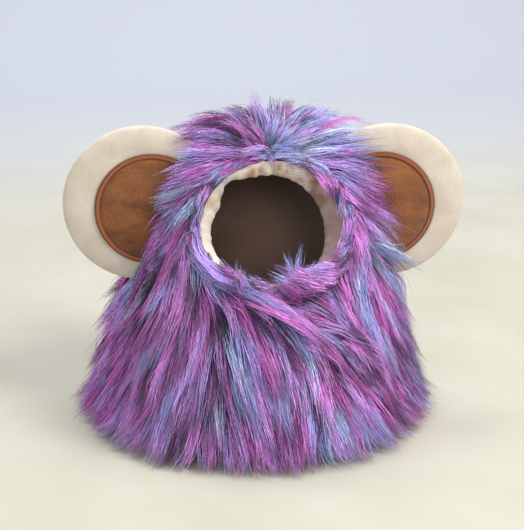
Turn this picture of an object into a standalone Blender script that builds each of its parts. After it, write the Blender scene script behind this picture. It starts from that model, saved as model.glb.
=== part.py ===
"""A cat's lion-mane hood of long-pile fur cloth, with a face opening and two padded ears.

The hood stands on its own mane. Metres, +Z up, -Y is the side that the face looks out of.
The origin is under the middle of the hood, on the surface that the mane stands on.
"""

import math
import random
from typing import NamedTuple

import bmesh
import bpy
from mathutils import Vector
from mathutils.bvhtree import BVHTree

MM = 0.001
GAP = 0.3 * MM


class Section(NamedTuple):
    """One level of the fur cloth's outer face, an oval about its own centre."""

    height: float
    half_width: float
    front: float
    back: float
    centre_x: float
    centre_y: float


SECTIONS = [
    Section(0.010, 0.0955, 0.0905, 0.0840, -0.0060, 0.0),
    Section(0.036, 0.0875, 0.0830, 0.0800, -0.0050, 0.0),
    Section(0.062, 0.0800, 0.0740, 0.0750, -0.0035, 0.0),
    Section(0.088, 0.0710, 0.0650, 0.0680, -0.0025, 0.0),
    Section(0.112, 0.0630, 0.0560, 0.0610, -0.0010, 0.0),
    Section(0.134, 0.0560, 0.0460, 0.0540, 0.0, 0.002),
    Section(0.154, 0.0470, 0.0360, 0.0450, 0.0, 0.004),
    Section(0.167, 0.0340, 0.0240, 0.0320, 0.0, 0.006),
    Section(0.1735, 0.0180, 0.0130, 0.0180, 0.0, 0.007),
    Section(0.1750, 0.0, 0.0, 0.0, 0.0, 0.008),
]
FLAP_ROW = 3

CLOTH_WALL = 2.0 * MM
LINING_WALL = 1.0 * MM
CLOSURE_WALL = 2.0 * MM

COLUMN_TURN = math.radians(12)
SLIT_TURN = math.radians(-24)
MAIN_COLUMNS = 30
FLAP_COLUMNS = 5
FLAP_SPREAD_COLUMNS = 4
FLAP_RISE = 6.6 * MM
FLAP_DROP = 33.0 * MM
FLAP_CURVE = 1.5

FACE_CENTRE = Vector((0.0, -0.0450, 0.1250))
FACE_TILT = math.radians(29)
FACE_HALF_WIDTH = 0.0418
FACE_HALF_HEIGHT = 0.0385
FACE_AXIS = Vector((0.0, -math.cos(FACE_TILT), math.sin(FACE_TILT)))
FACE_UP = Vector((0.0, math.sin(FACE_TILT), math.cos(FACE_TILT)))

CASING_WALL = 2.2 * MM
CASING_REACH = 11.5 * MM
CASING_SIDE_SHARE = 2.5 * MM
CASING_SLOPE = math.radians(42)
CASING_STEPS = 48
GATHERS = 16
GATHER_DEPTH = 0.5 * MM

EAR_RADIUS = 0.0465
EAR_HALF_THICKNESS = 4.5 * MM
EAR_CENTRES = {-1: Vector((-0.0725, -0.002, 0.1290)), 1: Vector((0.0725, -0.002, 0.1270))}
EAR_SEAM_GAP = 0.9 * MM
EAR_STEPS = 26
EAR_BANDS = 6
PATCH_CENTRE_INWARD = 5.0 * MM
PATCH_CENTRE_DROP = 2.5 * MM
PATCH_RADIUS = 29.5 * MM
PATCH_WALL = 1.0 * MM
TRIM_HALF_WIDTH = 1.6 * MM
TRIM_HALF_HEIGHT = 1.0 * MM
ON_EAR_GAP = 0.5 * MM

LOCK_LENGTH = 0.052
LOCK_HALF_WIDTH = 9.6 * MM
LOCK_SPACING = 0.0225
LOCK_STEPS = 12
RIM_LOCKS = 13
SEED = 33


# Smooth rows between the sections

def section_at(place):
    """The section at a place counted in table rows, on a smooth curve through the table."""
    last = len(SECTIONS) - 1
    row = min(max(int(place), 0), last - 1)
    share = place - row
    before = SECTIONS[max(row - 1, 0)]
    first, second = SECTIONS[row], SECTIONS[row + 1]
    after = SECTIONS[min(row + 2, last)]
    values = []
    for p0, p1, p2, p3 in zip(before, first, second, after):
        values.append(
            p1
            + 0.5 * share * (p2 - p0)
            + share * share * (p0 - 2.5 * p1 + 2 * p2 - 0.5 * p3)
            + share ** 3 * (1.5 * (p1 - p2) + 0.5 * (p3 - p0))
        )
    return Section(*values)


def level(height):
    """The place in table rows of a height on the hood."""
    low, high = 0.0, len(SECTIONS) - 1.0
    for _ in range(40):
        middle = (low + high) / 2
        if section_at(middle).height < height:
            low = middle
        else:
            high = middle
    return (low + high) / 2


def on_oval(section, turn, rise=0.0):
    """A point of a section's oval, turned from the front towards +X, rise further out."""
    depth = section.front if math.cos(turn) > 0 else section.back
    return Vector((
        section.centre_x + (section.half_width + rise) * math.sin(turn),
        section.centre_y - (depth + rise) * math.cos(turn),
        section.height,
    ))


def flap_rise(column):
    """How far the cloth stands out at a column, where it climbs to lie over the other front edge."""
    share = (column - (MAIN_COLUMNS - FLAP_SPREAD_COLUMNS)) / FLAP_SPREAD_COLUMNS
    share = min(max(share, 0.0), 1.0)
    return FLAP_RISE * share * share * (3 - 2 * share)


def flap_top(column):
    """The height of the front flap's upper edge at a column."""
    share = (column - MAIN_COLUMNS) / FLAP_COLUMNS
    return SECTIONS[FLAP_ROW].height - FLAP_DROP * max(share, 0.0) ** FLAP_CURVE


# The hood's cloth, as an open surface with a slit and a flap at the front

def cloth_surface(name):
    """An open mesh of the cloth's outer face: a bell, slit below the face, with one edge over the other."""
    mesh = bpy.data.meshes.new(name)
    form = bmesh.new()
    top_row = len(SECTIONS) - 1
    grid = {}
    for row in range(top_row):
        section = SECTIONS[row]
        open_front = row <= FLAP_ROW
        columns = MAIN_COLUMNS + (FLAP_COLUMNS + 1 if open_front else 0)
        for column in range(columns):
            turn = SLIT_TURN + column * COLUMN_TURN
            rise = flap_rise(column) if open_front else 0.0
            if column > MAIN_COLUMNS:
                foot = SECTIONS[0].height
                share = (flap_top(column) - foot) / (flap_top(MAIN_COLUMNS) - foot)
                height = foot + (SECTIONS[row].height - foot) * share
                section = section_at(level(height))
            grid[row, column] = form.verts.new(on_oval(section, turn, rise))
        if not open_front:
            grid[row, MAIN_COLUMNS] = grid[row, 0]
    apex = form.verts.new(on_oval(SECTIONS[top_row], 0.0))
    for row in range(top_row - 1):
        columns = MAIN_COLUMNS + (FLAP_COLUMNS if row < FLAP_ROW else 0)
        for column in range(columns):
            form.faces.new((
                grid[row, column],
                grid[row, column + 1],
                grid[row + 1, column + 1],
                grid[row + 1, column],
            ))
    for column in range(MAIN_COLUMNS):
        form.faces.new((grid[top_row - 1, column], grid[top_row - 1, column + 1], apex))
    form.to_mesh(mesh)
    form.free()
    return mesh


def face_cutter(name, extra=0.0):
    """An oval prism along the face opening's axis, for cutting the front wall only."""
    form = bmesh.new()
    bmesh.ops.create_cone(
        form, cap_ends=True, segments=40, radius1=1.0, radius2=1.0, depth=2.0
    )
    for vert in form.verts:
        across, up, along = vert.co
        vert.co = (
            FACE_CENTRE
            + Vector((across * (FACE_HALF_WIDTH + extra), 0, 0))
            + FACE_UP * up * (FACE_HALF_HEIGHT + extra)
            + FACE_AXIS * along * 0.036
        )
    bmesh.ops.recalc_face_normals(form, faces=form.faces)
    return finish(name, form, cutters)


def outer_bulk(name, rise):
    """The whole closed form of the hood, larger by a rise, for cutting what is sewn on at its seam."""
    form = bmesh.new()
    rings = []
    for section in SECTIONS[:-1]:
        ring = []
        for column in range(MAIN_COLUMNS):
            turn = SLIT_TURN + column * COLUMN_TURN
            ring.append(form.verts.new(on_oval(section, turn, rise)))
        rings.append(ring)
    for low, high in zip(rings, rings[1:]):
        for column in range(MAIN_COLUMNS):
            after = (column + 1) % MAIN_COLUMNS
            form.faces.new((low[column], low[after], high[after], high[column]))
    form.faces.new(list(reversed(rings[0])))
    form.faces.new(rings[-1])
    bmesh.ops.recalc_face_normals(form, faces=form.faces)
    return finish(name, form, cutters)


# Objects, materials and modifiers

def clear_scene():
    """Removes what the scene holds."""
    for obj in list(bpy.data.objects):
        bpy.data.objects.remove(obj)


def new_collection(name):
    """A collection in the scene."""
    made = bpy.data.collections.new(name)
    bpy.context.scene.collection.children.link(made)
    return made


def material(name, colour, roughness):
    """A plain Principled material."""
    made = bpy.data.materials.new(name)
    made.use_nodes = True
    shader = made.node_tree.nodes["Principled BSDF"]
    shader.inputs["Base Color"].default_value = (*colour, 1.0)
    shader.inputs["Roughness"].default_value = roughness
    shader.inputs["Metallic"].default_value = 0.0
    return made


def add_object(name, mesh, collection, finish_material=None):
    """An object for a mesh. One in the cutters' collection isn't rendered."""
    obj = bpy.data.objects.new(name, mesh)
    collection.objects.link(obj)
    if collection is cutters:
        obj.hide_render = True
        obj.display_type = "WIRE"
    if finish_material:
        mesh.materials.append(finish_material)
    return obj


def finish(name, form, collection, finish_material=None):
    """Turns a bmesh into an object."""
    mesh = bpy.data.meshes.new(name)
    form.to_mesh(mesh)
    form.free()
    return add_object(name, mesh, collection, finish_material)


def solidify(obj, thickness):
    """A wall inwards from the object's surface."""
    wall = obj.modifiers.new("wall", "SOLIDIFY")
    wall.thickness = thickness
    wall.offset = -1.0
    wall.use_even_offset = True


def boolean(obj, other, operation="DIFFERENCE"):
    """A Boolean with another object, or with all of a collection."""
    cut = obj.modifiers.new(operation.lower(), "BOOLEAN")
    cut.operation = operation
    cut.solver = "EXACT"
    if isinstance(other, bpy.types.Collection):
        cut.operand_type = "COLLECTION"
        cut.collection = other
    else:
        cut.object = other


# The locks of the pile, each a tapered blade that lies along the cloth

def smoothstep(low, high, value):
    """0 below low and 1 above high, smooth between."""
    share = min(max((value - low) / (high - low), 0.0), 1.0)
    return share * share * (3 - 2 * share)


def combing(point):
    """The way that the pile is combed at a point: away from the whorl over the face, then down."""
    whorl = FACE_CENTRE + FACE_UP * FACE_HALF_HEIGHT
    from_whorl = (point - whorl).normalized()
    from_face = (point - FACE_CENTRE).normalized()
    down = Vector((0, 0, -1))
    sideways = Vector((math.copysign(1, point.x) * smoothstep(0, 0.05, abs(point.x)), 0, 0))
    hang = smoothstep(0.150, 0.080, point.z) if point.z < 0.150 else 0.0
    return from_whorl * 0.8 + from_face * 0.5 + down * (0.25 + 1.6 * hang) + sideways * 0.25


def guide_rise(turn, height):
    """How far the outermost cloth stands out at a turn and height, over the front edges' overlap."""
    column = (turn - SLIT_TURN) / COLUMN_TURN % MAIN_COLUMNS
    if column < FLAP_COLUMNS + 1:
        top = flap_top(min(column, FLAP_COLUMNS) + MAIN_COLUMNS)
        edge = smoothstep(FLAP_COLUMNS + 0.9, FLAP_COLUMNS + 0.1, column)
        return FLAP_RISE * edge * smoothstep(top + 6 * MM, top + 1 * MM, height)
    foot, head = SECTIONS[FLAP_ROW].height, SECTIONS[FLAP_ROW + 1].height
    return flap_rise(column) * min(max((head - height) / (head - foot), 0.0), 1.0)


def guide_tree():
    """A search tree of the hood's outermost face, without a slit and carried on below the hem."""
    form = bmesh.new()
    rings = []
    for step in range(11):
        drop = (10 - step) / 10
        section = SECTIONS[0]
        flared = section._replace(
            height=section.height - 0.050 * drop,
            half_width=section.half_width + 0.016 * drop,
            front=section.front + 0.016 * drop,
            back=section.back + 0.016 * drop,
        )
        rings.append([
            form.verts.new(on_oval(flared, math.radians(6 * turn), guide_rise(math.radians(6 * turn), 0.010)))
            for turn in range(60)
        ])
    for step in range(1, 36):
        section = section_at((len(SECTIONS) - 1) * step / 36)
        rings.append([
            form.verts.new(on_oval(
                section, math.radians(6 * turn), guide_rise(math.radians(6 * turn), section.height)
            ))
            for turn in range(60)
        ])
    for low, high in zip(rings, rings[1:]):
        for index in range(60):
            after = (index + 1) % 60
            form.faces.new((low[index], low[after], high[after], high[index]))
    form.faces.new(rings[-1])
    bmesh.ops.recalc_face_normals(form, faces=form.faces)
    form.normal_update()
    tree = BVHTree.FromBMesh(form)
    form.free()
    return tree


def outward_normal(normal, point):
    """The normal turned to face away from the hood's inside."""
    away = point - Vector((0, 0, 0.070))
    return normal if normal.dot(away) > 0 else -normal


def lock_path(tree, root, length, floor):
    """Points and normals along the cloth from a root, combed over the given length."""
    step = length / LOCK_STEPS
    place, normal, _, _ = tree.find_nearest(root)
    path = []
    for _ in range(LOCK_STEPS + 1):
        normal = outward_normal(normal, place)
        path.append((place.copy(), normal.copy()))
        heading = combing(place)
        heading -= normal * heading.dot(normal)
        place, normal, _, _ = tree.find_nearest(place + heading.normalized() * step)
        if place.z < floor - 8 * MM:
            break
    return path


def at_share(path, share):
    """A point and normal at a share of the way along a path."""
    place = share * (len(path) - 1)
    index = min(int(place), len(path) - 2)
    part = place - index
    (a, na), (b, nb) = path[index], path[index + 1]
    return a.lerp(b, part), na.lerp(nb, part).normalized()


LOCK_PROFILE = [
    # share of length, share of half width, height of the underside, height of the top
    (0.00, 0.00, -0.6 * MM, -0.6 * MM),
    (0.24, 0.90, -0.75 * MM, 4.2 * MM),
    (0.60, 1.00, -0.4 * MM, 8.2 * MM),
    (0.86, 0.55, 4.4 * MM, 9.6 * MM),
    (1.00, 0.00, 8.8 * MM, 8.8 * MM),
]


def add_lock(tree, name, root, length, half_width, lift, floor=0.0):
    """One lock as a closed blade, from a sphere whose rings are laid along the lock's path."""
    path = lock_path(tree, root, length, floor)
    if len(path) < 6:
        return None
    form = bmesh.new()
    bands = len(LOCK_PROFILE) - 1
    bmesh.ops.create_uvsphere(form, u_segments=4, v_segments=bands, radius=1.0)
    for vert in form.verts:
        ring = round(math.acos(min(max(-vert.co.z, -1.0), 1.0)) / math.pi * bands)
        share, width, under, top = LOCK_PROFILE[ring]
        place, normal = at_share(path, share)
        ahead, _ = at_share(path, min(share + 0.1, 1.0))
        behind, _ = at_share(path, max(share - 0.1, 0.0))
        across = (ahead - behind).cross(normal).normalized()
        flat = Vector((vert.co.x, vert.co.y))
        flat = flat.normalized() if flat.length > 0.01 else Vector((0.0, 0.0))
        middle, half = (top + under) / 2, (top - under) / 2
        if middle > 0:
            middle *= lift
        point = place + normal * (middle + flat.y * half) + across * flat.x * width * half_width
        point.z = max(point.z, floor)
        vert.co = point
    bmesh.ops.recalc_face_normals(form, faces=form.faces)
    return finish(name, form, locks)


def ear_room(side, seam):
    """The space that an ear takes up beside the hood, with a gap round it, kept clear of locks."""
    form = bmesh.new()
    bmesh.ops.create_cone(
        form, cap_ends=True, segments=EAR_STEPS, radius1=EAR_RADIUS + 0.6 * MM,
        radius2=EAR_RADIUS + 0.6 * MM, depth=2 * EAR_HALF_THICKNESS + 6.2 * MM,
    )
    for vert in form.verts:
        x, y, z = vert.co
        vert.co = EAR_CENTRES[side] + Vector((x, z - 1.0 * MM, y))
    bmesh.ops.recalc_face_normals(form, faces=form.faces)
    room = finish(f"ear_room_{'left' if side < 0 else 'right'}", form, cutters)
    boolean(room, seam)
    return room


def in_face(point, margin):
    """True if a point of the front lies in the face opening, widened by a margin."""
    across = point.x / (FACE_HALF_WIDTH + margin)
    up = (point - FACE_CENTRE).dot(FACE_UP) / (FACE_HALF_HEIGHT + margin)
    return point.y < 0 and across ** 2 + up ** 2 < 1


def at_ear_seam(point):
    """True if a point lies where an ear is sewn on."""
    centre = EAR_CENTRES[-1 if point.x < 0 else 1]
    return abs(point.y - centre.y) < 8.5 * MM and abs(point.z - centre.z) < EAR_RADIUS + 2 * MM


def lock_roots():
    """Roots of the locks, in staggered rows round the cloth's outer face."""
    chance = random.Random(SEED)
    heights = [0.030, 0.055, 0.080, 0.105, 0.129, 0.150, 0.166, 0.1738]
    for index, height in enumerate(heights):
        section = section_at(level(height))
        girth = math.pi * (section.half_width + (section.front + section.back) / 2)
        count = max(4, round(girth / LOCK_SPACING))
        for number in range(count):
            turn = 2 * math.pi * (number + 0.5 * (index % 2) + chance.uniform(-0.15, 0.15)) / count
            turn = (turn + math.pi) % (2 * math.pi) - math.pi
            root = on_oval(section, turn, guide_rise(turn, height))
            if in_face(root, 3.5 * MM) or at_ear_seam(root):
                continue
            yield root, chance.uniform(0.92, 1.12), chance.uniform(0.9, 1.1), chance.uniform(0.85, 1.2)


def rim_roots(tree):
    """Roots of the locks that spread from round the face opening."""
    chance = random.Random(SEED + 1)
    for number in range(RIM_LOCKS):
        angle = 2 * math.pi * (number + 0.5) / RIM_LOCKS
        yield rim_point(tree, angle, -6.5 * MM), 0.85, chance.uniform(0.9, 1.1), chance.uniform(0.8, 1.1)


def outermost(obj):
    """Replaces an object's modifiers by their result, less any pocket sealed between its locks."""
    graph = bpy.context.evaluated_depsgraph_get()
    mesh = bpy.data.meshes.new_from_object(obj.evaluated_get(graph))
    form = bmesh.new()
    form.from_mesh(mesh)
    left = set(form.faces)
    bodies = []
    while left:
        body, front = set(), [left.pop()]
        while front:
            face = front.pop()
            body.add(face)
            whole = [edge for edge in face.edges if len(edge.link_faces) == 2]
            for near in {near for edge in whole for near in edge.link_faces} & left:
                left.discard(near)
                front.append(near)
        bodies.append(body)
    largest = max(bodies, key=len)
    spare = [face for body in bodies if body is not largest for face in body]
    bmesh.ops.delete(form, geom=spare, context="FACES")
    bmesh.ops.delete(form, geom=[v for v in form.verts if not v.link_faces], context="VERTS")
    form.to_mesh(mesh)
    form.free()
    obj.modifiers.clear()
    obj.data = mesh


def fur_hood(tree, rooms):
    """The fur cloth: a slit bell with a face opening, and the locks of its pile fused to it."""
    hood = add_object("fur_hood", cloth_surface("fur_hood"), parts, fur)
    solidify(hood, CLOTH_WALL)
    boolean(hood, face_cutter("face_hole_in_cloth", GAP))
    roots = list(lock_roots()) + list(rim_roots(tree))
    for number, (root, long, wide, lift) in enumerate(roots):
        side = -1 if root.x < 0 else 1
        size = (LOCK_LENGTH * long, LOCK_HALF_WIDTH * wide)
        lock = add_lock(tree, f"lock_{number:03d}", root, *size, lift)
        if lock and any((v.co - EAR_CENTRES[side]).length < EAR_RADIUS + 6 * MM for v in lock.data.vertices):
            boolean(lock, rooms[side])
    boolean(hood, locks, "UNION")
    outermost(hood)
    return hood


def lining():
    """The thin lining inside the fur cloth, with the same slit, flap and face opening."""
    made = add_object("lining", cloth_surface("lining"), parts, cream)
    inset = made.modifiers.new("inset", "DISPLACE")
    inset.mid_level = 0.0
    inset.strength = -(CLOTH_WALL + GAP)
    solidify(made, LINING_WALL)
    boolean(made, face_cutter("face_hole_in_lining", 2.2 * MM))
    return made


# The gathered casing round the face opening

def rim_point(tree, angle, inset):
    """Where the face opening's edge meets the cloth's outer face, at an angle round it."""
    across = math.cos(angle) * (FACE_HALF_WIDTH - inset)
    up = math.sin(angle) * (FACE_HALF_HEIGHT - inset)
    start = FACE_CENTRE + Vector((across, 0, 0)) + FACE_UP * up + FACE_AXIS * 0.060
    hit, _, _, _ = tree.ray_cast(start, -FACE_AXIS)
    return hit


def face_casing(tree):
    """The cream band that the elastic runs in: a short gathered funnel inside the face opening."""
    form = bmesh.new()
    rings = []
    for step in range(CASING_STEPS):
        angle = 2 * math.pi * step / CASING_STEPS
        edge = rim_point(tree, angle, 0.0)
        inward = -(Vector((math.cos(angle), 0, 0)) + FACE_UP * math.sin(angle)).normalized()
        ripple = GATHER_DEPTH * math.cos(angle * GATHERS)
        run = inward * math.cos(CASING_SLOPE) - FACE_AXIS * math.sin(CASING_SLOPE)
        face = inward * math.sin(CASING_SLOPE) + FACE_AXIS * math.cos(CASING_SLOPE)
        reach = CASING_REACH + CASING_SIDE_SHARE * (math.cos(angle) - abs(math.sin(angle)))
        front = edge + FACE_AXIS * 0.6 * MM
        ring = [
            front,
            front + run * reach * 0.5 + face * ripple,
            front + run * reach + face * ripple * 1.6,
            front + run * reach - face * CASING_WALL + face * ripple * 1.6,
            front + run * reach * 0.5 - face * CASING_WALL + face * ripple,
            front + run * 2.2 * MM - face * CASING_WALL,
        ]
        rings.append([form.verts.new(point) for point in ring])
    for index, ring in enumerate(rings):
        after = rings[(index + 1) % CASING_STEPS]
        for corner in range(len(ring)):
            other = (corner + 1) % len(ring)
            form.faces.new((ring[corner], ring[other], after[other], after[corner]))
    bmesh.ops.recalc_face_normals(form, faces=form.faces)
    return finish("face_casing", form, parts, cream)


# The ears, each a padded disc with a patch and a stitched trim

def ear_surface(across, up):
    """How far the ear's padded face stands from its middle plane, at a place from its centre."""
    share = min(math.hypot(across, up) / EAR_RADIUS, 1.0)
    return EAR_HALF_THICKNESS * math.sqrt(1 - share ** 4)


def spun(form, profile, steps):
    """Spins a line of points in the XY plane about Y and closes it."""
    verts = [form.verts.new(Vector((radius, depth, 0))) for radius, depth in profile]
    edges = [form.edges.new(pair) for pair in zip(verts, verts[1:])]
    bmesh.ops.spin(
        form, geom=verts + edges, cent=(0, 0, 0), axis=(0, 1, 0),
        angle=2 * math.pi, steps=steps, use_duplicate=False,
    )
    bmesh.ops.remove_doubles(form, verts=form.verts, dist=0.01 * MM)
    bmesh.ops.recalc_face_normals(form, faces=form.faces)


def ear_pad(name, side, seam):
    """The cream ear: a disc, padded and crowned, cut to the hood where it is sewn on."""
    form = bmesh.new()
    profile = []
    for step in range(EAR_BANDS + 1):
        angle = math.pi * step / EAR_BANDS
        share = math.sqrt(max(math.sin(angle), 0.0))
        profile.append((EAR_RADIUS * share, -EAR_HALF_THICKNESS * math.cos(angle)))
    spun(form, profile, EAR_STEPS)
    ear = finish(name, form, parts, cream)
    ear.location = EAR_CENTRES[side]
    boolean(ear, seam)
    return ear


def on_ear(vert_place, side):
    """Lays a point of a flat piece, drawn about the patch's centre, on the ear's front face."""
    across = vert_place.x - side * PATCH_CENTRE_INWARD
    up = vert_place.z - PATCH_CENTRE_DROP
    return Vector((across, vert_place.y - ear_surface(across, up), up))


def ear_patch(name, side, seam):
    """The brown velour patch on the ear's front."""
    form = bmesh.new()
    low, high = -ON_EAR_GAP, -ON_EAR_GAP - PATCH_WALL
    radii = [0.0, PATCH_RADIUS * 0.4, PATCH_RADIUS * 0.72, PATCH_RADIUS]
    profile = [(radius, low) for radius in radii] + [(radius, high) for radius in reversed(radii)]
    spun(form, profile, EAR_STEPS)
    for vert in form.verts:
        vert.co = on_ear(vert.co, side)
    patch = finish(name, form, parts, velour)
    patch.location = EAR_CENTRES[side]
    boolean(patch, seam)
    return patch


def ear_trim(name, side, seam):
    """The raised satin-stitched edge round the patch."""
    form = bmesh.new()
    bmesh.ops.create_circle(form, cap_ends=False, segments=6, radius=1.0)
    ring = list(form.verts)
    for vert in ring:
        vert.co = Vector((
            PATCH_RADIUS + GAP + TRIM_HALF_WIDTH * (1 + vert.co.x),
            TRIM_HALF_HEIGHT * (vert.co.y - 1) - ON_EAR_GAP,
            0.0,
        ))
    bmesh.ops.spin(
        form, geom=ring + list(form.edges), cent=(0, 0, 0), axis=(0, 1, 0),
        angle=2 * math.pi, steps=28, use_duplicate=False,
    )
    bmesh.ops.remove_doubles(form, verts=form.verts, dist=0.01 * MM)
    bmesh.ops.recalc_face_normals(form, faces=form.faces)
    for vert in form.verts:
        vert.co = on_ear(vert.co, side)
    trim = finish(name, form, parts, stitching)
    trim.location = EAR_CENTRES[side]
    boolean(trim, seam)
    return trim


# The hidden closure between the two front edges

def centre_on_origin():
    """Moves all that was built until the middle of its bounds is over the origin."""
    graph = bpy.context.evaluated_depsgraph_get()
    points = []
    for obj in parts.objects:
        shape = obj.evaluated_get(graph)
        points += [shape.matrix_world @ vert.co for vert in shape.data.vertices]
    for obj in [*parts.objects, *cutters.objects]:
        for axis in (0, 1):
            low, high = min(p[axis] for p in points), max(p[axis] for p in points)
            obj.location[axis] -= (low + high) / 2


def neck_closure():
    """The pad of hook-and-loop tape that holds the flap over the other front edge."""
    form = bmesh.new()
    rows = [0.040, 0.049, 0.058]
    columns = [1, 2, 3, 4]
    grid = {}
    for row, height in enumerate(rows):
        for column in columns:
            turn = SLIT_TURN + column * COLUMN_TURN
            place = on_oval(section_at(level(height)), turn, GAP + CLOSURE_WALL + 0.25 * MM)
            grid[row, column] = form.verts.new(place)
    for row in range(len(rows) - 1):
        for column in columns[:-1]:
            form.faces.new((
                grid[row, column], grid[row, column + 1],
                grid[row + 1, column + 1], grid[row + 1, column],
            ))
    pad = finish("neck_closure", form, parts, tape)
    solidify(pad, CLOSURE_WALL)
    return pad


clear_scene()
parts = new_collection("cat_lion_mane_hood")
cutters = new_collection("cutters")
locks = new_collection("locks")
locks.hide_render = True

fur = material("long_pile_fur", (0.27, 0.14, 0.38), 0.55)
cream = material("cream_plush", (0.78, 0.68, 0.53), 0.9)
velour = material("brown_velour", (0.27, 0.11, 0.04), 0.8)
stitching = material("brown_stitching", (0.34, 0.12, 0.03), 0.6)
tape = material("closure_tape", (0.62, 0.55, 0.45), 0.9)

outermost_cloth = guide_tree()
seam_form = outer_bulk("ear_seam", EAR_SEAM_GAP)
room_form = outer_bulk("ear_room_seam", EAR_SEAM_GAP / 2)
fur_hood(outermost_cloth, {side: ear_room(side, room_form) for side in EAR_CENTRES})
lining()
face_casing(outermost_cloth)
neck_closure()
for side_name, direction in (("left", -1), ("right", 1)):
    ear_pad(f"ear_{side_name}", direction, seam_form)
    ear_patch(f"ear_{side_name}_patch", direction, seam_form)
    ear_trim(f"ear_{side_name}_trim", direction, seam_form)
centre_on_origin()
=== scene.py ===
"""Looks of a cat's lion-mane hood: deep fur combed in locks, a gathered face casing and padded ears.

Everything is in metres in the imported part's frame: +Z up, -Y the side that the face looks out of.
"""

import logging
import math
import random
from dataclasses import dataclass, field
from enum import Enum

import bmesh
import bpy
import numpy as np
from bpy.types import Material, Mesh, Node, NodeTree, Object
from bpy.types import NodeSocket as Socket
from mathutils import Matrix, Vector, noise
from mathutils.bvhtree import BVHTree
from mathutils.kdtree import KDTree

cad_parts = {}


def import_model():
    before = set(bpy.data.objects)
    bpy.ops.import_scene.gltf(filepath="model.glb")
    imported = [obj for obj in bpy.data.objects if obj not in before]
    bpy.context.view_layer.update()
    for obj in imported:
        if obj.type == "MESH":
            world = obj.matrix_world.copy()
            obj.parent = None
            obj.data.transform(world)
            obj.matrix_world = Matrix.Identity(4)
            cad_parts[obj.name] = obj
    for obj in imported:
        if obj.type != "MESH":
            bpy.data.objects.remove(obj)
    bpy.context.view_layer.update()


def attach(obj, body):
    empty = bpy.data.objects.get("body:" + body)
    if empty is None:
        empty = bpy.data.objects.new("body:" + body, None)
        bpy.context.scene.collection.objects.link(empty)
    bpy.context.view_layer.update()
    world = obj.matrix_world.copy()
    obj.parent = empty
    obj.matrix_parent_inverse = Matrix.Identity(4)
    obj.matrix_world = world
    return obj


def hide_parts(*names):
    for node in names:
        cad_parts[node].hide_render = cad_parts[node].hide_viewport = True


MM = 0.001
HOME_Y = 6.34 * MM
SEAM_GAP = 0.9 * MM

log = logging.getLogger("mane_hood")

Colour = tuple[float, float, float]
Span = tuple[float, float]


class Side(Enum):
    """The viewer's two sides of the hood, as the sign of X."""

    LEFT = -1
    RIGHT = 1


class Lay(Enum):
    """How far the hood's two cloths lie under the fur cloth's outer face, in metres."""

    FUR_CLOTH = 0.0
    LINING = 2.3 * MM


def srgb(red: int, green: int, blue: int) -> Colour:
    """Turns a colour in 0 to 255 steps, as a screen shows it, into linear light.

    Args:
        red: The red step.
        green: The green step.
        blue: The blue step.

    Returns:
        The three linear values.
    """
    steps = (value / 255 for value in (red, green, blue))
    linear = [v / 12.92 if v <= 0.04045 else ((v + 0.055) / 1.055) ** 2.4 for v in steps]
    return linear[0], linear[1], linear[2]


def smoothstep(low: float, high: float, value: np.ndarray | float) -> np.ndarray | float:
    """A smooth rise from 0 at low to 1 at high.

    Args:
        low: Where the rise starts.
        high: Where it ends.
        value: One value or an array.

    Returns:
        The share, of the same kind as value.
    """
    share = np.clip((value - low) / (high - low), 0.0, 1.0)
    return share * share * (3 - 2 * share)


def link(obj: Object) -> Object:
    """Puts an object in the scene and returns it."""
    bpy.context.scene.collection.objects.link(obj)
    return obj


def mesh_object(
    name: str, verts: list | np.ndarray, faces: list, material: Material | None = None
) -> Object:
    """Makes a smooth-shaded object of plain points and faces.

    Args:
        name: The piece's name.
        verts: The points, in the part's frame.
        faces: Index tuples.
        material: The finish, if it is known already.

    Returns:
        The object, linked to the scene.
    """
    mesh = bpy.data.meshes.new(name)
    mesh.from_pydata([tuple(map(float, v)) for v in verts], [], faces)
    mesh.update()
    face_out(mesh, weld=0.004 * MM)
    dress(mesh, material)
    return link(bpy.data.objects.new(name, mesh))


def face_out(mesh: Mesh, weld: float = 0.0) -> None:
    """Points a mesh's faces outwards, after its doubles are merged if weld is a distance."""
    form = bmesh.new()
    form.from_mesh(mesh)
    if weld:
        bmesh.ops.remove_doubles(form, verts=form.verts, dist=weld)
    bmesh.ops.recalc_face_normals(form, faces=form.faces)
    form.to_mesh(mesh)
    form.free()


def dress(mesh: Mesh, material: Material | None) -> None:
    """Shades a mesh smooth and gives it its finish."""
    mesh.polygons.foreach_set("use_smooth", [True] * len(mesh.polygons))
    if material:
        mesh.materials.append(material)


def settle(obj: Object) -> Object:
    """Applies an object's modifiers, so that only the plain result stays.

    Args:
        obj: The object with live modifiers.

    Returns:
        The same object, with the result as its mesh.
    """
    graph = bpy.context.evaluated_depsgraph_get()
    mesh = bpy.data.meshes.new_from_object(obj.evaluated_get(graph))
    obj.modifiers.clear()
    obj.data = mesh
    return obj


def mark(mesh: Mesh, name: str, kind: str, values: list[float]) -> None:
    """Gives each point of a mesh a number or a way under a name."""
    key = "vector" if kind == "FLOAT_VECTOR" else "value"
    mesh.attributes.new(name, kind, "POINT").data.foreach_set(key, values)


def grow(obj: Object, tree: NodeTree, values: dict[str, float]) -> Object:
    """Runs a node tree on an object and keeps the plain result.

    Args:
        obj: The object.
        tree: The tree.
        values: Its inputs, by name.

    Returns:
        The same object.
    """
    modifier = obj.modifiers.new(tree.name, "NODES")
    modifier.node_group = tree
    for item in tree.interface.items_tree:
        if item.in_out == "INPUT" and item.name in values:
            modifier[item.identifier] = values[item.name]
    return settle(obj)


# The hood's form, shared by the cloths, the pile and what is sewn on


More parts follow.
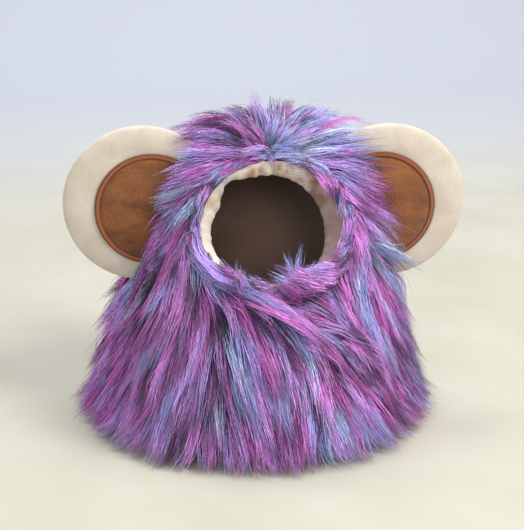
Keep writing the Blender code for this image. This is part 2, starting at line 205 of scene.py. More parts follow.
@dataclass
class HoodForm:
    """The fur cloth's outer face as a stack of ovals, with one front edge lapped over the other."""

    sections: tuple[tuple[float, ...], ...] = (
        (0.0100, 0.0955, 0.0905, 0.0840, -0.0060, 0.000),
        (0.0360, 0.0875, 0.0830, 0.0800, -0.0050, 0.000),
        (0.0620, 0.0800, 0.0740, 0.0750, -0.0035, 0.000),
        (0.0880, 0.0710, 0.0650, 0.0680, -0.0025, 0.000),
        (0.1120, 0.0630, 0.0560, 0.0610, -0.0010, 0.000),
        (0.1340, 0.0560, 0.0460, 0.0540, 0.0000, 0.002),
        (0.1540, 0.0470, 0.0360, 0.0450, 0.0000, 0.004),
        (0.1670, 0.0340, 0.0240, 0.0320, 0.0000, 0.006),
        (0.1735, 0.0180, 0.0130, 0.0180, 0.0000, 0.007),
        (0.1750, 0.0000, 0.0000, 0.0000, 0.0000, 0.008),
    )
    slit_turn: float = math.radians(-24)
    flap_turn: float = math.radians(60)
    climb_turn: float = math.radians(48)
    flap_rise: float = 6.6 * MM
    flap_head: float = 0.088
    weld_head: float = 0.112
    flap_drop: float = 33 * MM
    flap_curve: float = 1.5
    flap_fade: float = math.radians(11)
    face_centre: Vector = field(default_factory=lambda: Vector((0, -0.045 + HOME_Y, 0.125)))
    face_tilt: float = math.radians(29)
    face_half_width: float = 41.8 * MM
    face_half_height: float = 38.5 * MM

    def __post_init__(self) -> None:
        """Draws the smooth rows between the sections and the guide surface."""
        self.face_axis = Vector((0, -math.cos(self.face_tilt), math.sin(self.face_tilt)))
        self.face_up = Vector((0, math.sin(self.face_tilt), math.cos(self.face_tilt)))
        self.whorl = self.face_centre + self.face_up * (self.face_half_height + 5 * MM)
        table = np.array(self.sections)
        last = len(table) - 1
        self.places = np.linspace(0, last, 40 * last + 1)
        row = np.minimum(self.places.astype(int), last - 1)
        share = (self.places - row)[:, None]
        p0, p1 = table[np.maximum(row - 1, 0)], table[row]
        p2, p3 = table[row + 1], table[np.minimum(row + 2, last)]
        self.rows = (
            p1 + 0.5 * share * (p2 - p0)
            + share**2 * (p0 - 2.5 * p1 + 2 * p2 - 0.5 * p3)
            + share**3 * (1.5 * (p1 - p2) + 0.5 * (p3 - p0))
        )
        self.tree = self.guide_tree()

    def section(self, place: float) -> np.ndarray:
        """The section at a place counted in table rows, as height, half width, front, back, x, y."""
        return np.array([np.interp(place, self.places, self.rows[:, i]) for i in range(6)])

    def place_of(self, height: float) -> float:
        """The place in table rows of a height."""
        return float(np.interp(height, self.rows[:, 0], self.places))

    def flap_top(self, turn: float) -> float:
        """The height of the front flap's upper edge at a turn from the front."""
        share = min(max((turn - self.slit_turn) / self.flap_turn, 0.0), 1.0)
        return self.flap_head - self.flap_drop * share**self.flap_curve

    def climb(self, turn: float, height: float) -> float:
        """How far the cloth stands out where it climbs to lap over the other front edge.

        Args:
            turn: The turn from the front, below the slit's turn, towards the viewer's left.
            height: The height on the hood.

        Returns:
            The rise in metres.
        """
        share = smoothstep(self.slit_turn - self.climb_turn, self.slit_turn, turn)
        fade = (self.weld_head - height) / (self.weld_head - self.flap_head)
        return float(self.flap_rise * share * min(max(fade, 0.0), 1.0))

    def outermost_rise(self, turn: float, height: float) -> float:
        """How far the outermost cloth stands out at a turn and a height.

        Args:
            turn: The turn from the front.
            height: The height on the hood.

        Returns:
            The rise in metres, over the flap or where the cloth climbs to it.
        """
        turn = (turn + math.pi) % (2 * math.pi) - math.pi
        if turn < self.slit_turn:
            return self.climb(turn, height)
        end = self.slit_turn + self.flap_turn
        if turn > end + self.flap_fade:
            return 0.0
        top = self.flap_top(turn)
        edge = smoothstep(end + self.flap_fade, end + math.radians(1), turn)
        return float(self.flap_rise * edge * smoothstep(top + 6 * MM, top + 1 * MM, height))

    def point(self, section: np.ndarray, turn: float, rise: float = 0.0) -> Vector:
        """A point of a section's oval.

        Args:
            section: What section() gives.
            turn: The turn from the front towards +X.
            rise: How much further out the point lies.

        Returns:
            The point in the part's frame.
        """
        height, half_width, front, back, x, y = section
        depth = front if math.cos(turn) > 0 else back
        return Vector((
            x + (half_width + rise) * math.sin(turn),
            y + HOME_Y - (depth + rise) * math.cos(turn),
            height,
        ))

    def guide_tree(self) -> BVHTree:
        """A search tree of the outermost cloth, closed over the slit and carried on below the hem.

        Returns:
            The search tree.
        """
        verts, faces, count = [], [], 120
        turns = [2 * math.pi * i / count for i in range(count)]
        rings = []
        for step in range(12):
            drop = (12 - step) / 12
            section = self.section(0.0) + np.array([-0.05, 0.016, 0.016, 0.016, 0, 0]) * drop
            rings.append((section, 0.010))
        for place in np.linspace(0, len(self.sections) - 1.05, 90):
            section = self.section(place)
            rings.append((section, section[0]))
        for section, height in rings:
            verts += [self.point(section, t, self.outermost_rise(t, height)) for t in turns]
        for ring in range(len(rings) - 1):
            for i in range(count):
                j, low, high = (i + 1) % count, ring * count, (ring + 1) * count
                faces.append((low + i, low + j, high + j, high + i))
        verts.append(self.point(self.section(len(self.sections) - 1), 0.0))
        top = (len(rings) - 1) * count
        faces += [(top + i, top + (i + 1) % count, len(verts) - 1) for i in range(count)]
        return BVHTree.FromPolygons(verts, faces)

    def rim_point(self, angle: float, beyond: float = 0.0) -> Vector:
        """Where the face opening's edge meets the cloth.

        Args:
            angle: The angle round the opening, from +X upwards.
            beyond: How far outside the edge.

        Returns:
            The point on the outermost cloth.
        """
        across = math.cos(angle) * (self.face_half_width + beyond)
        up = math.sin(angle) * (self.face_half_height + beyond)
        start = self.face_centre + Vector((across, 0, 0)) + self.face_up * up
        return self.tree.ray_cast(start + self.face_axis * 0.06, -self.face_axis)[0]

    def in_face(self, point: Vector, margin: float) -> float:
        """How far out a front point lies from the face opening's centre, 1 at the edge plus margin."""
        if point.y > HOME_Y:
            return 9.0
        across = point.x / (self.face_half_width + margin)
        up = (point - self.face_centre).dot(self.face_up) / (self.face_half_height + margin)
        return math.hypot(across, up)

    def half_x(self, height: float, y: float) -> float:
        """The hood's half width at a height and a depth, as the ears' seam follows it."""
        _, half_width, front, back, _, cy = self.section(self.place_of(min(height, 0.1748)))
        depth = front if y - HOME_Y < cy else back
        if depth < 1e-6:
            return 0.0
        return half_width * math.sqrt(max(1 - ((y - HOME_Y - cy) / depth) ** 2, 0.0))


# Finishes


class Shader:
    """A material's node tree with short ways to add and join nodes."""

    def __init__(self, name: str) -> None:
        """Starts a Principled material.

        Args:
            name: The material's name.
        """
        self.material = bpy.data.materials.new(name)
        self.material.use_nodes = True
        self.tree = self.material.node_tree
        self.surface = self.tree.nodes["Principled BSDF"]

    def add(self, kind: str, inputs: dict | None = None, **settings: object) -> Node:
        """Adds a node.

        Args:
            kind: The node's type.
            inputs: A value or a socket for each named or numbered input.
            settings: The node's own properties.

        Returns:
            The node.
        """
        return add_node(self.tree, kind, inputs, **settings)

    def place(self) -> Socket:
        """The Object coordinates."""
        return self.add("ShaderNodeTexCoord").outputs["Object"]

    def attribute(self, name: str) -> Socket:
        """A number that the mesh carries under a name."""
        return self.add("ShaderNodeAttribute", attribute_name=name).outputs["Fac"]

    def grain(self, place: Socket, scale: float, detail: float = 2.0) -> Socket:
        """A noise from 0 to 1."""
        inputs = {"Vector": place, "Scale": scale, "Detail": detail}
        return self.add("ShaderNodeTexNoise", inputs).outputs["Fac"]

    def math(self, operation: str, first: object, second: object = 0.5, clamp: bool = False) -> Socket:
        """A Math node's result."""
        node = self.add("ShaderNodeMath", {0: first, 1: second}, operation=operation, use_clamp=clamp)
        return node.outputs[0]

    def span(self, value: Socket, source: Span, target: Span = (0.0, 1.0), smooth: bool = False) -> Socket:
        """Carries a value from one span of numbers to another.

        Args:
            value: The value.
            source: The span that it comes from.
            target: The span that it goes to.
            smooth: Whether it eases in and out.

        Returns:
            The new value.
        """
        ends = {"From Min": source[0], "From Max": source[1], "To Min": target[0], "To Max": target[1]}
        kind = "SMOOTHSTEP" if smooth else "LINEAR"
        return self.add("ShaderNodeMapRange", {"Value": value, **ends}, interpolation_type=kind).outputs[0]

    def mix(self, first: object, second: object, share: object = 1.0, blend: str = "MULTIPLY") -> Socket:
        """Mixes a second colour into a first."""
        inputs = {"Factor": share, "A": first, "B": second}
        return self.add("ShaderNodeMix", inputs, data_type="RGBA", blend_type=blend).outputs["Result"]

    def bump(self, height: Socket, strength: float, distance: float) -> Socket:
        """A normal from a height."""
        inputs = {"Height": height, "Strength": strength, "Distance": distance}
        return self.add("ShaderNodeBump", inputs).outputs[0]

    def ramp(self, factor: Socket, stops: tuple[tuple[float, Colour], ...]) -> Socket:
        """A colour ramp.

        Args:
            factor: What runs along it.
            stops: Places and colours.

        Returns:
            The colour's socket.
        """
        node = self.add("ShaderNodeValToRGB", {"Fac": factor})
        elements = node.color_ramp.elements
        while len(elements) < len(stops):
            elements.new(0.5)
        for element, (place, colour) in zip(elements, stops):
            element.position = place
            element.color = (*colour, 1.0)
        return node.outputs["Color"]

    def set(self, **values: object) -> None:
        """Sets or joins the surface's inputs, each named with underscores for spaces."""
        for name, value in values.items():
            assign(self.tree, self.surface.inputs[name.replace("_", " ")], value)


def assign(tree: NodeTree, socket: Socket, value: object) -> None:
    """Joins a socket to another, or sets its value.

    Args:
        tree: The tree.
        socket: The input.
        value: A socket, a node or a plain value.
    """
    if isinstance(value, Socket):
        tree.links.new(value, socket)
    elif isinstance(value, Node):
        tree.links.new(next(o for o in value.outputs if o.enabled), socket)
    elif isinstance(value, tuple) and socket.type == "RGBA" and len(value) == 3:
        socket.default_value = (*value, 1.0)
    else:
        socket.default_value = value


def add_node(tree: NodeTree, kind: str, inputs: dict | None = None, **settings: object) -> Node:
    """Adds a node to a tree.

    Args:
        tree: The tree.
        kind: The node's type.
        inputs: A value, socket or node for each input, by name or number.
        settings: The node's own properties.

    Returns:
        The node.
    """
    node = tree.nodes.new(kind)
    for name, value in settings.items():
        setattr(node, name, value)
    for key, value in (inputs or {}).items():
        if isinstance(key, int):
            socket = node.inputs[key]
        else:
            socket = next(s for s in node.inputs if s.name == key and s.enabled)
        assign(tree, socket, value)
    return node


def plush_group() -> NodeTree:
    """The group that short cloth piles share: a fine uneven height and a soft mottle.

    Returns:
        The group.
    """
    group = bpy.data.node_groups.new("short_pile", "ShaderNodeTree")
    for name, kind in (("Vector", "Vector"), ("Grain", "Float"), ("Mottle", "Float")):
        group.interface.new_socket(name, in_out="INPUT", socket_type=f"NodeSocket{kind}")
    for name in ("Height", "Mottle"):
        group.interface.new_socket(name, in_out="OUTPUT", socket_type="NodeSocketFloat")
    start = group.nodes.new("NodeGroupInput")
    end = group.nodes.new("NodeGroupOutput")
    fine = add_node(group, "ShaderNodeTexNoise", {
        "Vector": start.outputs["Vector"], "Scale": start.outputs["Grain"], "Detail": 3.0,
        "Roughness": 0.65,
    })
    broad = add_node(group, "ShaderNodeTexNoise", {
        "Vector": start.outputs["Vector"], "Scale": start.outputs["Mottle"], "Detail": 2.0,
    })
    group.links.new(fine.outputs["Fac"], end.inputs["Height"])
    group.links.new(broad.outputs["Fac"], end.inputs["Mottle"])
    return group


@dataclass(frozen=True)
class PileFinish:
    """The long fibres' finish: colours by lock and by fibre, darker at the root and at some tips."""

    name: str = "long_pile_fur"
    fibre_share: float = 0.27
    stops: tuple[tuple[float, Colour], ...] = (
        (0.02, srgb(30, 32, 56)),
        (0.12, srgb(76, 58, 104)),
        (0.22, srgb(152, 62, 138)),
        (0.33, srgb(226, 116, 212)),
        (0.44, srgb(226, 160, 232)),
        (0.58, srgb(194, 166, 238)),
        (0.73, srgb(118, 134, 190)),
        (0.86, srgb(184, 200, 238)),
        (0.98, srgb(222, 226, 248)),
    )
    noise_span: Span = (0.3, 0.7)
    crimp_apart: float = 970.0
    crimps: float = 9.0
    glint: Span = (0.66, 1.36)
    root_end: float = 0.5
    root_shade: Span = (0.3, 1.1)
    tip_start: float = 0.74
    tip_depth: float = 0.8
    tipped_below: float = 0.58
    inky_above: float = 0.91
    inky_shade: float = 0.22
    vat_apart: float = 90.0
    vat: Span = (0.68, 1.42)

    def build(self) -> Material:
        """Makes the material.

        Returns:
            The material.
        """
        shader = Shader(self.name)
        lock, fibre, along = (shader.attribute(name) for name in ("lock_tone", "fibre_tone", "fibre_along"))
        spread = shader.span(fibre, (0.0, 1.0), (-self.fibre_share / 2, self.fibre_share / 2))
        colour = shader.ramp(shader.math("ADD", lock, spread, clamp=True), self.stops)
        waved = shader.add("ShaderNodeCombineXYZ", {
            "X": shader.math("MULTIPLY", fibre, self.crimp_apart),
            "Y": shader.math("MULTIPLY", along, self.crimps), "Z": lock,
        }).outputs[0]
        dyed = shader.add(
            "ShaderNodeTexNoise", {"W": shader.math("MULTIPLY", lock, self.vat_apart), "Scale": 1.0},
            noise_dimensions="1D",
        ).outputs["Fac"]
        tip = shader.span(along, (self.tip_start, 1.0), (0.0, self.tip_depth))
        tipped = shader.math("LESS_THAN", fibre, self.tipped_below)
        inky = shader.math("GREATER_THAN", fibre, self.inky_above)
        shade = shader.span(along, (0.0, self.root_end), self.root_shade)
        for factor in (
            shader.math("SUBTRACT", 1.0, shader.math("MULTIPLY", tip, tipped)),
            shader.span(dyed, self.noise_span, self.vat),
            shader.span(inky, (0.0, 1.0), (1.0, self.inky_shade)),
            shader.span(shader.grain(waved, 1.0), self.noise_span, self.glint),
        ):
            shade = shader.math("MULTIPLY", shade, factor)
        shader.set(
            Base_Color=shader.mix(colour, shade), Roughness=0.42, Specular_IOR_Level=0.45,
            Sheen_Weight=0.25, Sheen_Roughness=0.4, Sheen_Tint=(0.85, 0.75, 1.0),
        )
        return shader.material


@dataclass(frozen=True)
class ClothFinish:
    """A plain or short-piled cloth in Object coordinates."""

    name: str
    dark: Colour
    light: Colour
    grain: float = 1600.0
    mottle: float = 70.0
    relief: float = 0.25
    sheen: float = 0.4
    roughness: float = 0.92
    stretch: tuple[float, float, float] = (1.0, 1.0, 1.0)
    mottle_span: Span = (0.72, 1.28)
    relief_depth: float = 0.4 * MM
    lit_place: tuple[float, float, float] | None = None
    lit_reach: Span = (0.012, 0.06)
    lit_shade: Span = (1.1, 0.25)

    def build(self, group: NodeTree) -> Material:
        """Makes the material.

        Args:
            group: The shared short-pile group.

        Returns:
            The material.
        """
        shader = Shader(self.name)
        place = shader.place()
        mapping = shader.add("ShaderNodeMapping", {"Vector": place, "Scale": self.stretch})
        pile = shader.tree.nodes.new("ShaderNodeGroup")
        pile.node_tree = group
        for name, value in (("Vector", mapping.outputs[0]), ("Grain", self.grain), ("Mottle", self.mottle)):
            assign(shader.tree, pile.inputs[name], value)
        height = pile.outputs["Height"]
        share = shader.span(shader.math("ADD", height, pile.outputs["Mottle"]), self.mottle_span)
        colour = shader.ramp(share, ((0.0, self.dark), (1.0, self.light)))
        if self.lit_place:
            away = shader.add("ShaderNodeVectorMath", {0: place, 1: self.lit_place}, operation="DISTANCE")
            shade = shader.span(away.outputs["Value"], self.lit_reach, self.lit_shade, smooth=True)
            colour = shader.mix(colour, shade)
        shader.set(
            Base_Color=colour, Roughness=self.roughness,
            Normal=shader.bump(height, self.relief, self.relief_depth),
            Sheen_Weight=self.sheen, Sheen_Roughness=0.5, Specular_IOR_Level=0.2,
        )
        return shader.material


@dataclass(frozen=True)
class TwillFinish:
    """Cream twill with its fine diagonal, laid out by the piece's own UV map in metres, with painted shade
    greying the band's right side and lying in tan blotches along its top.
    """

    name: str = "twill_casing"
    uv_map: str = "weave"
    pitch: float = 1.15 * MM
    dark: Colour = srgb(192, 176, 156)
    light: Colour = srgb(238, 228, 214)
    # painted shade: the two colours below darken the band's right side and its top
    right_shade: Colour = srgb(180, 158, 162)
    top_shade_tint: Colour = srgb(214, 186, 160)
    rib_turn: float = math.radians(52)
    waves_per_pitch: float = 0.314
    grime_and_shade_scale: float = 90.0
    grime_share: float = 0.45
    # where the painted shade lies: from X on the right side with a noisy edge, and in blotches above a
    # height on top
    right_shade_from_x: Span = (0.022, 0.068)
    right_shade_wobble: float = 0.06
    top_shade_blotches: Span = (0.46, 0.62)
    top_shade_from_z: Span = (0.118, 0.142)

    def build(self) -> Material:
        """Makes the material.

        Returns:
            The material.
        """
        shader = Shader(self.name)
        cloth, place = shader.add("ShaderNodeUVMap", uv_map=self.uv_map).outputs[0], shader.place()
        turned = shader.add("ShaderNodeMapping", {"Vector": cloth, "Rotation": (0.0, 0.0, self.rib_turn)})
        rib = shader.add("ShaderNodeTexWave", {
            "Vector": turned.outputs[0], "Scale": self.waves_per_pitch / self.pitch,
            "Distortion": 0.35, "Detail": 1.0,
        }).outputs["Fac"]
        grime_and_shade_noise = shader.grain(place, self.grime_and_shade_scale, 3.0)
        shares = {"Factor": self.grime_share, "A": rib, "B": grime_and_shade_noise}
        both = shader.add("ShaderNodeMix", shares, data_type="FLOAT").outputs[0]
        plain = shader.ramp(both, ((0.15, self.dark), (0.75, self.light)))
        # painted shade: greyer towards the band's right side (+X) and tan in blotches along its top (high
        # Z)
        split = shader.add("ShaderNodeSeparateXYZ", {"Vector": place})
        edge = shader.math("ADD", split.outputs["X"], shader.math("MULTIPLY", grime_and_shade_noise, self.right_shade_wobble))
        right_shade = shader.span(edge, self.right_shade_from_x, smooth=True)
        above = shader.span(split.outputs["Z"], self.top_shade_from_z)
        top_shaded = shader.math("MULTIPLY", shader.span(grime_and_shade_noise, self.top_shade_blotches), above)
        colour = shader.mix(shader.mix(plain, self.top_shade_tint, top_shaded), self.right_shade, right_shade)
        shader.set(
            Base_Color=colour, Roughness=0.88, Normal=shader.bump(rib, 0.8, 0.25 * MM), Sheen_Weight=0.2
        )
        return shader.material


@dataclass(frozen=True)
class ThreadFinish:
    """The satin stitches' thread, with a painted highlight where it crowns and painted shade where it dips
    into the cloth.
    """

    name: str = "brown_stitching"
    crown: Colour = srgb(164, 89, 40)
    flank: Colour = srgb(128, 64, 28)
    dip_shade: Colour = srgb(86, 42, 20)
    strands: float = 900.0
    strand_share: float = 0.3

    def build(self) -> Material:
        """Makes the material."""
        shader = Shader(self.name)
        edge = shader.math("ABSOLUTE", shader.attribute("stitch_across"))
        strand = shader.math("MULTIPLY", shader.grain(shader.place(), self.strands), self.strand_share)
        # painted highlight on each bead's crown, painted shade at its ends where it dips into the cloth
        stops = ((0.2, self.crown), (0.6, self.flank), (1.0, self.dip_shade))
        colour = shader.ramp(shader.math("ADD", edge, strand), stops)
        shader.set(Base_Color=colour, Roughness=0.5, Sheen_Weight=0.15)
        return shader.material


@dataclass
class Finishes:
    """All the finishes of the hood, built once."""

    def __post_init__(self) -> None:
        """Builds the materials."""
        group = plush_group()
        self.pile = PileFinish().build()
        self.twill = TwillFinish().build()
        self.fur_cloth = ClothFinish(
            "fur_ground_cloth", srgb(62, 38, 74), srgb(116, 70, 128), mottle=120.0, relief=0.8
        ).build(group)
        self.lining = ClothFinish(
            "lining_cloth", srgb(222, 180, 156), srgb(242, 206, 182), grain=2400.0, mottle=25.0,
            relief=0.1, sheen=0.1, lit_place=(-0.019, 0.066, 0.080),
        ).build(group)
        self.plush = ClothFinish(
            "cream_plush", srgb(188, 174, 154), srgb(212, 201, 186), grain=1500.0, mottle=60.0, relief=0.35
        ).build(group)
        self.velour = ClothFinish(
            "brown_velour", srgb(78, 42, 20), srgb(152, 96, 56), grain=2000.0, mottle=60.0, relief=0.7,
            sheen=0.35, stretch=(0.55, 1.0, 1.0),
        ).build(group)
        self.stitch = ThreadFinish().build()
        self.tape = ClothFinish(
            "closure_tape", srgb(178, 160, 134), srgb(206, 190, 164), grain=2600.0, relief=0.9
        ).build(group)


# The two cloths and the closure


@dataclass
class HoodCloth:
    """One of the hood's two cloths: a slit bell with a lapped front and a hole for the face."""

    form: HoodForm
    name: str
    lay: Lay
    wall: float
    hole_margin: float
    columns: int = 75
    rows_under: int = 16
    rows_at_climb: int = 5
    rows_over: int = 22
    flap_columns: int = 12
    hole_half_depth: float = 0.036

    def grid(self) -> tuple[list[Vector], list[tuple[int, ...]]]:
        """The cloth's outer face as points and faces, before it gets its wall.

        Returns:
            The points and the faces.
        """
        form = self.form
        verts: list[Vector] = []
        faces: list[tuple[int, ...]] = []
        under = list(np.linspace(form.sections[0][0], form.flap_head, self.rows_under))
        climbing = list(np.linspace(form.flap_head, form.weld_head, self.rows_at_climb))[1:-1]
        turns = [form.slit_turn + 2 * math.pi * i / self.columns for i in range(self.columns + 1)]
        rows: list[list[int]] = []
        for height in under + climbing:
            row = []
            for i, turn in enumerate(turns):
                wrapped = turn if turn < math.pi else turn - 2 * math.pi
                rise = form.climb(wrapped, height) if wrapped < form.slit_turn + 1e-9 and i else 0.0
                if i == self.columns:
                    rise = form.climb(form.slit_turn, height)
                row.append(len(verts))
                verts.append(self.laid(form.section(form.place_of(height)), turn, rise))
            rows.append(row)
        for place in np.linspace(form.place_of(form.weld_head), len(form.sections) - 1.12, self.rows_over):
            row = []
            for turn in turns[:-1]:
                row.append(len(verts))
                verts.append(self.laid(form.section(place), turn, 0.0))
            rows.append(row + [row[0]])
        for low, high in zip(rows, rows[1:]):
            faces += [(low[i], low[i + 1], high[i + 1], high[i]) for i in range(self.columns)]
        apex = len(verts)
        verts.append(self.laid(form.section(len(form.sections) - 1), 0.0, 0.0))
        faces += [(rows[-1][i], rows[-1][i + 1], apex) for i in range(self.columns)]
        flap = [row[-1] for row in rows[: len(under)]]
        for step in range(1, self.flap_columns + 1):
            turn = form.slit_turn + form.flap_turn * step / self.flap_columns
            top, foot = form.flap_top(turn), under[0]
            column = []
            for height in under:
                share = (height - foot) / (form.flap_head - foot)
                column.append(len(verts))
                section = form.section(form.place_of(foot + (top - foot) * share))
                verts.append(self.laid(section, turn, form.flap_rise))
            faces += [(flap[i], column[i], column[i + 1], flap[i + 1]) for i in range(len(under) - 1)]
            flap = column
        return verts, faces

    def laid(self, section: np.ndarray, turn: float, rise: float) -> Vector:
        """A point of this cloth's own face, under the fur cloth's face by its lay."""
        inset = min(self.lay.value, float(section[1]) * 0.5)
        point = self.form.point(section, turn, rise - inset)
        top = smoothstep(0.150, 0.172, float(section[0]))
        point.z -= self.lay.value * float(top)
        return point

    def build(self, material: Material) -> Object:
        """Makes the cloth with its wall and its hole.

        Args:
            material: The cloth's finish.

        Returns:
            The piece.
        """
        verts, faces = self.grid()
        mesh = bpy.data.meshes.new(self.name)
        mesh.from_pydata([tuple(v) for v in verts], [], faces)
        obj = link(bpy.data.objects.new(self.name, mesh))
        wall = obj.modifiers.new("wall", "SOLIDIFY")
        wall.thickness, wall.offset, wall.use_even_offset = self.wall, -1.0, True
        hole = self.cutter()
        cut = obj.modifiers.new("face", "BOOLEAN")
        cut.operation, cut.solver, cut.object = "DIFFERENCE", "EXACT", hole
        settle(obj)
        bpy.data.objects.remove(hole)
        obj.data.materials.clear()
        obj.data.polygons.foreach_set("material_index", [0] * len(obj.data.polygons))
        dress(obj.data, material)
        return obj

    def cutter(self) -> Object:
        """An oval prism along the face opening's axis.

        Returns:
            The prism.
        """
        form, shape = bmesh.new(), self.form
        bmesh.ops.create_cone(form, cap_ends=True, segments=96, radius1=1, radius2=1, depth=2)
        for vert in form.verts:
            across, up, along = vert.co
            vert.co = (
                shape.face_centre
                + Vector((across * (shape.face_half_width + self.hole_margin), 0, 0))
                + shape.face_up * up * (shape.face_half_height + self.hole_margin)
                + shape.face_axis * along * self.hole_half_depth
            )
        bmesh.ops.recalc_face_normals(form, faces=form.faces)
        mesh = bpy.data.meshes.new("face_hole")
        form.to_mesh(mesh)
        form.free()
        return link(bpy.data.objects.new("face_hole", mesh))


@dataclass
class NeckClosure:
    """The hidden pad of hook-and-loop tape between the front edges."""

    form: HoodForm
    low: float = 40 * MM
    high: float = 58 * MM
    turns: tuple[float, float] = (math.radians(-12), math.radians(24))
    rise: float = 0.55 * MM
    wall: float = 2 * MM

    def build(self, material: Material) -> Object:
        """Makes the pad.

        Args:
            material: The piece's finish.

        Returns:
            The pad.
        """
        verts, faces, across, up = [], [], 16, 8
        for layer in (self.rise, self.rise + self.wall):
            for j in range(up + 1):
                section = self.form.section(self.form.place_of(self.low + (self.high - self.low) * j / up))
                for i in range(across + 1):
                    turn = self.turns[0] + (self.turns[1] - self.turns[0]) * i / across
                    verts.append(self.form.point(section, turn, layer))
        row, sheet = across + 1, (across + 1) * (up + 1)
        for layer in (0, sheet):
            for j in range(up):
                for i in range(across):
                    a = layer + j * row + i
                    faces.append((a, a + 1, a + row + 1, a + row))
        edge = list(range(row)) + [j * row + across for j in range(1, up + 1)]
        edge += [up * row + i for i in range(across - 1, -1, -1)] + [j * row for j in range(up - 1, 0, -1)]
        for a, b in zip(edge, edge[1:] + edge[:1]):
            faces.append((a, b, b + sheet, a + sheet))
        return mesh_object("closure_pad", verts, faces, material)


# The gathered band round the face


@dataclass
class FaceCasing:
    """The cream band that the elastic runs in, gathered round the face opening."""

    form: HoodForm
    reach: float = 11.5 * MM
    side_share: float = 2.5 * MM
    slope: float = math.radians(42)
    wall: float = 2.2 * MM
    steps: int = 288
    gathers: int = 31
    # where the inner edge is cut back or stands further in: the turn in degrees and how far
    corners: tuple[tuple[float, float], ...] = ((129.0, -4.8 * MM), (153.0, 2.4 * MM))
    corner_spread: float = 12.0
    gather_depth: float = 0.5 * MM
    crease_depth: float = 0.7 * MM
    pucker_depth: float = 1.2 * MM
    puff: float = 0.9 * MM
    stand_off: float = 0.5 * MM

    def ripple(self, angle: float) -> float:
        """How far the gathers lift the band's inner edge, most of all at its top.

        Args:
            angle: The angle round the opening, from +X upwards.

        Returns:
            The lift in metres.
        """
        way = Vector((math.cos(angle), math.sin(angle), 0))
        drift = 1.6 * noise.noise(way * 2.1 + Vector((0, 0, 3)))
        gather = math.cos(angle * self.gathers + 3.0 * drift)
        crease = noise.noise(way * 9 + Vector((0, 0, 1)))
        pucker = abs(noise.noise(way * 17 + Vector((0, 0, 6))))
        top = 0.35 + 0.65 * float(smoothstep(-0.2, 0.9, way.y))
        return (
            self.gather_depth * gather * top
            + self.crease_depth * crease * (0.3 + 0.7 * top)
            + self.pucker_depth * pucker * top
        )

    def profile(self, angle: float) -> list[Vector]:
        """The band's cross-section at an angle round the opening.

        Args:
            angle: The angle from +X upwards.

        Returns:
            The points of one closed ring.
        """
        form = self.form
        edge = form.rim_point(angle)
        inward = -(Vector((math.cos(angle), 0, 0)) + form.face_up * math.sin(angle)).normalized()
        run = inward * math.cos(self.slope) - form.face_axis * math.sin(self.slope)
        face = inward * math.sin(self.slope) + form.face_axis * math.cos(self.slope)
        reach = self.reach + self.side_share * (math.cos(angle) - abs(math.sin(angle)))
        for turn, more in self.corners:
            off = math.degrees(math.remainder(angle - math.radians(turn), 2 * math.pi)) / self.corner_spread
            reach += more * math.exp(-off * off)
        ripple = self.ripple(angle)
        ring = []
        for share in (0.0, 0.12, 0.28, 0.45, 0.62, 0.78, 0.9):
            rise = self.stand_off + self.puff * math.sin(math.pi * share) ** 0.8 + ripple * (0.15 + share)
            ring.append(edge + run * reach * share + face * rise)
        centre = edge + run * reach * 0.93 + face * (self.stand_off - self.wall / 2 + ripple)
        for turn in (60, 20, -20, -60):
            a = math.radians(turn)
            ring.append(centre + (run * math.cos(a) + face * math.sin(a)) * self.wall * 0.55)
        for share in (0.8, 0.55, 0.3):
            under = self.stand_off - self.wall + ripple * share
            ring.append(edge + run * reach * share + face * under)
        ring.append(edge + run * 2.2 * MM - face * (self.wall - 0.4 * MM))
        return ring

    def build(self, material: Material) -> Object:
        """Makes the band, with a UV map in metres along and across it.

        Args:
            material: The piece's finish.

        Returns:
            The band.
        """
        rings = [self.profile(2 * math.pi * i / self.steps) for i in range(self.steps)]
        count = len(rings[0])
        verts = [point for ring in rings for point in ring]
        mesh = bpy.data.meshes.new("casing_band")
        faces, uvs = [], []
        lengths = [0.0]
        for a, b in zip(rings[0], rings[0][1:] + rings[0][:1]):
            lengths.append(lengths[-1] + (a - b).length)
        girth = 2 * math.pi * (self.form.face_half_width + self.form.face_half_height) / 2
        for i in range(self.steps):
            j = (i + 1) % self.steps
            for k in range(count):
                m = (k + 1) % count
                faces.append((i * count + k, i * count + m, j * count + m, j * count + k))
                u0, u1 = girth * i / self.steps, girth * (i + 1) / self.steps
                uvs += [(u0, lengths[k]), (u0, lengths[k + 1]), (u1, lengths[k + 1]), (u1, lengths[k])]
        mesh.from_pydata([tuple(v) for v in verts], [], faces)
        layer = mesh.uv_layers.new(name=TwillFinish.uv_map)
        layer.data.foreach_set("uv", [x for uv in uvs for x in uv])
        face_out(mesh)
        dress(mesh, material)
        return link(bpy.data.objects.new("casing_band", mesh))


# The ears


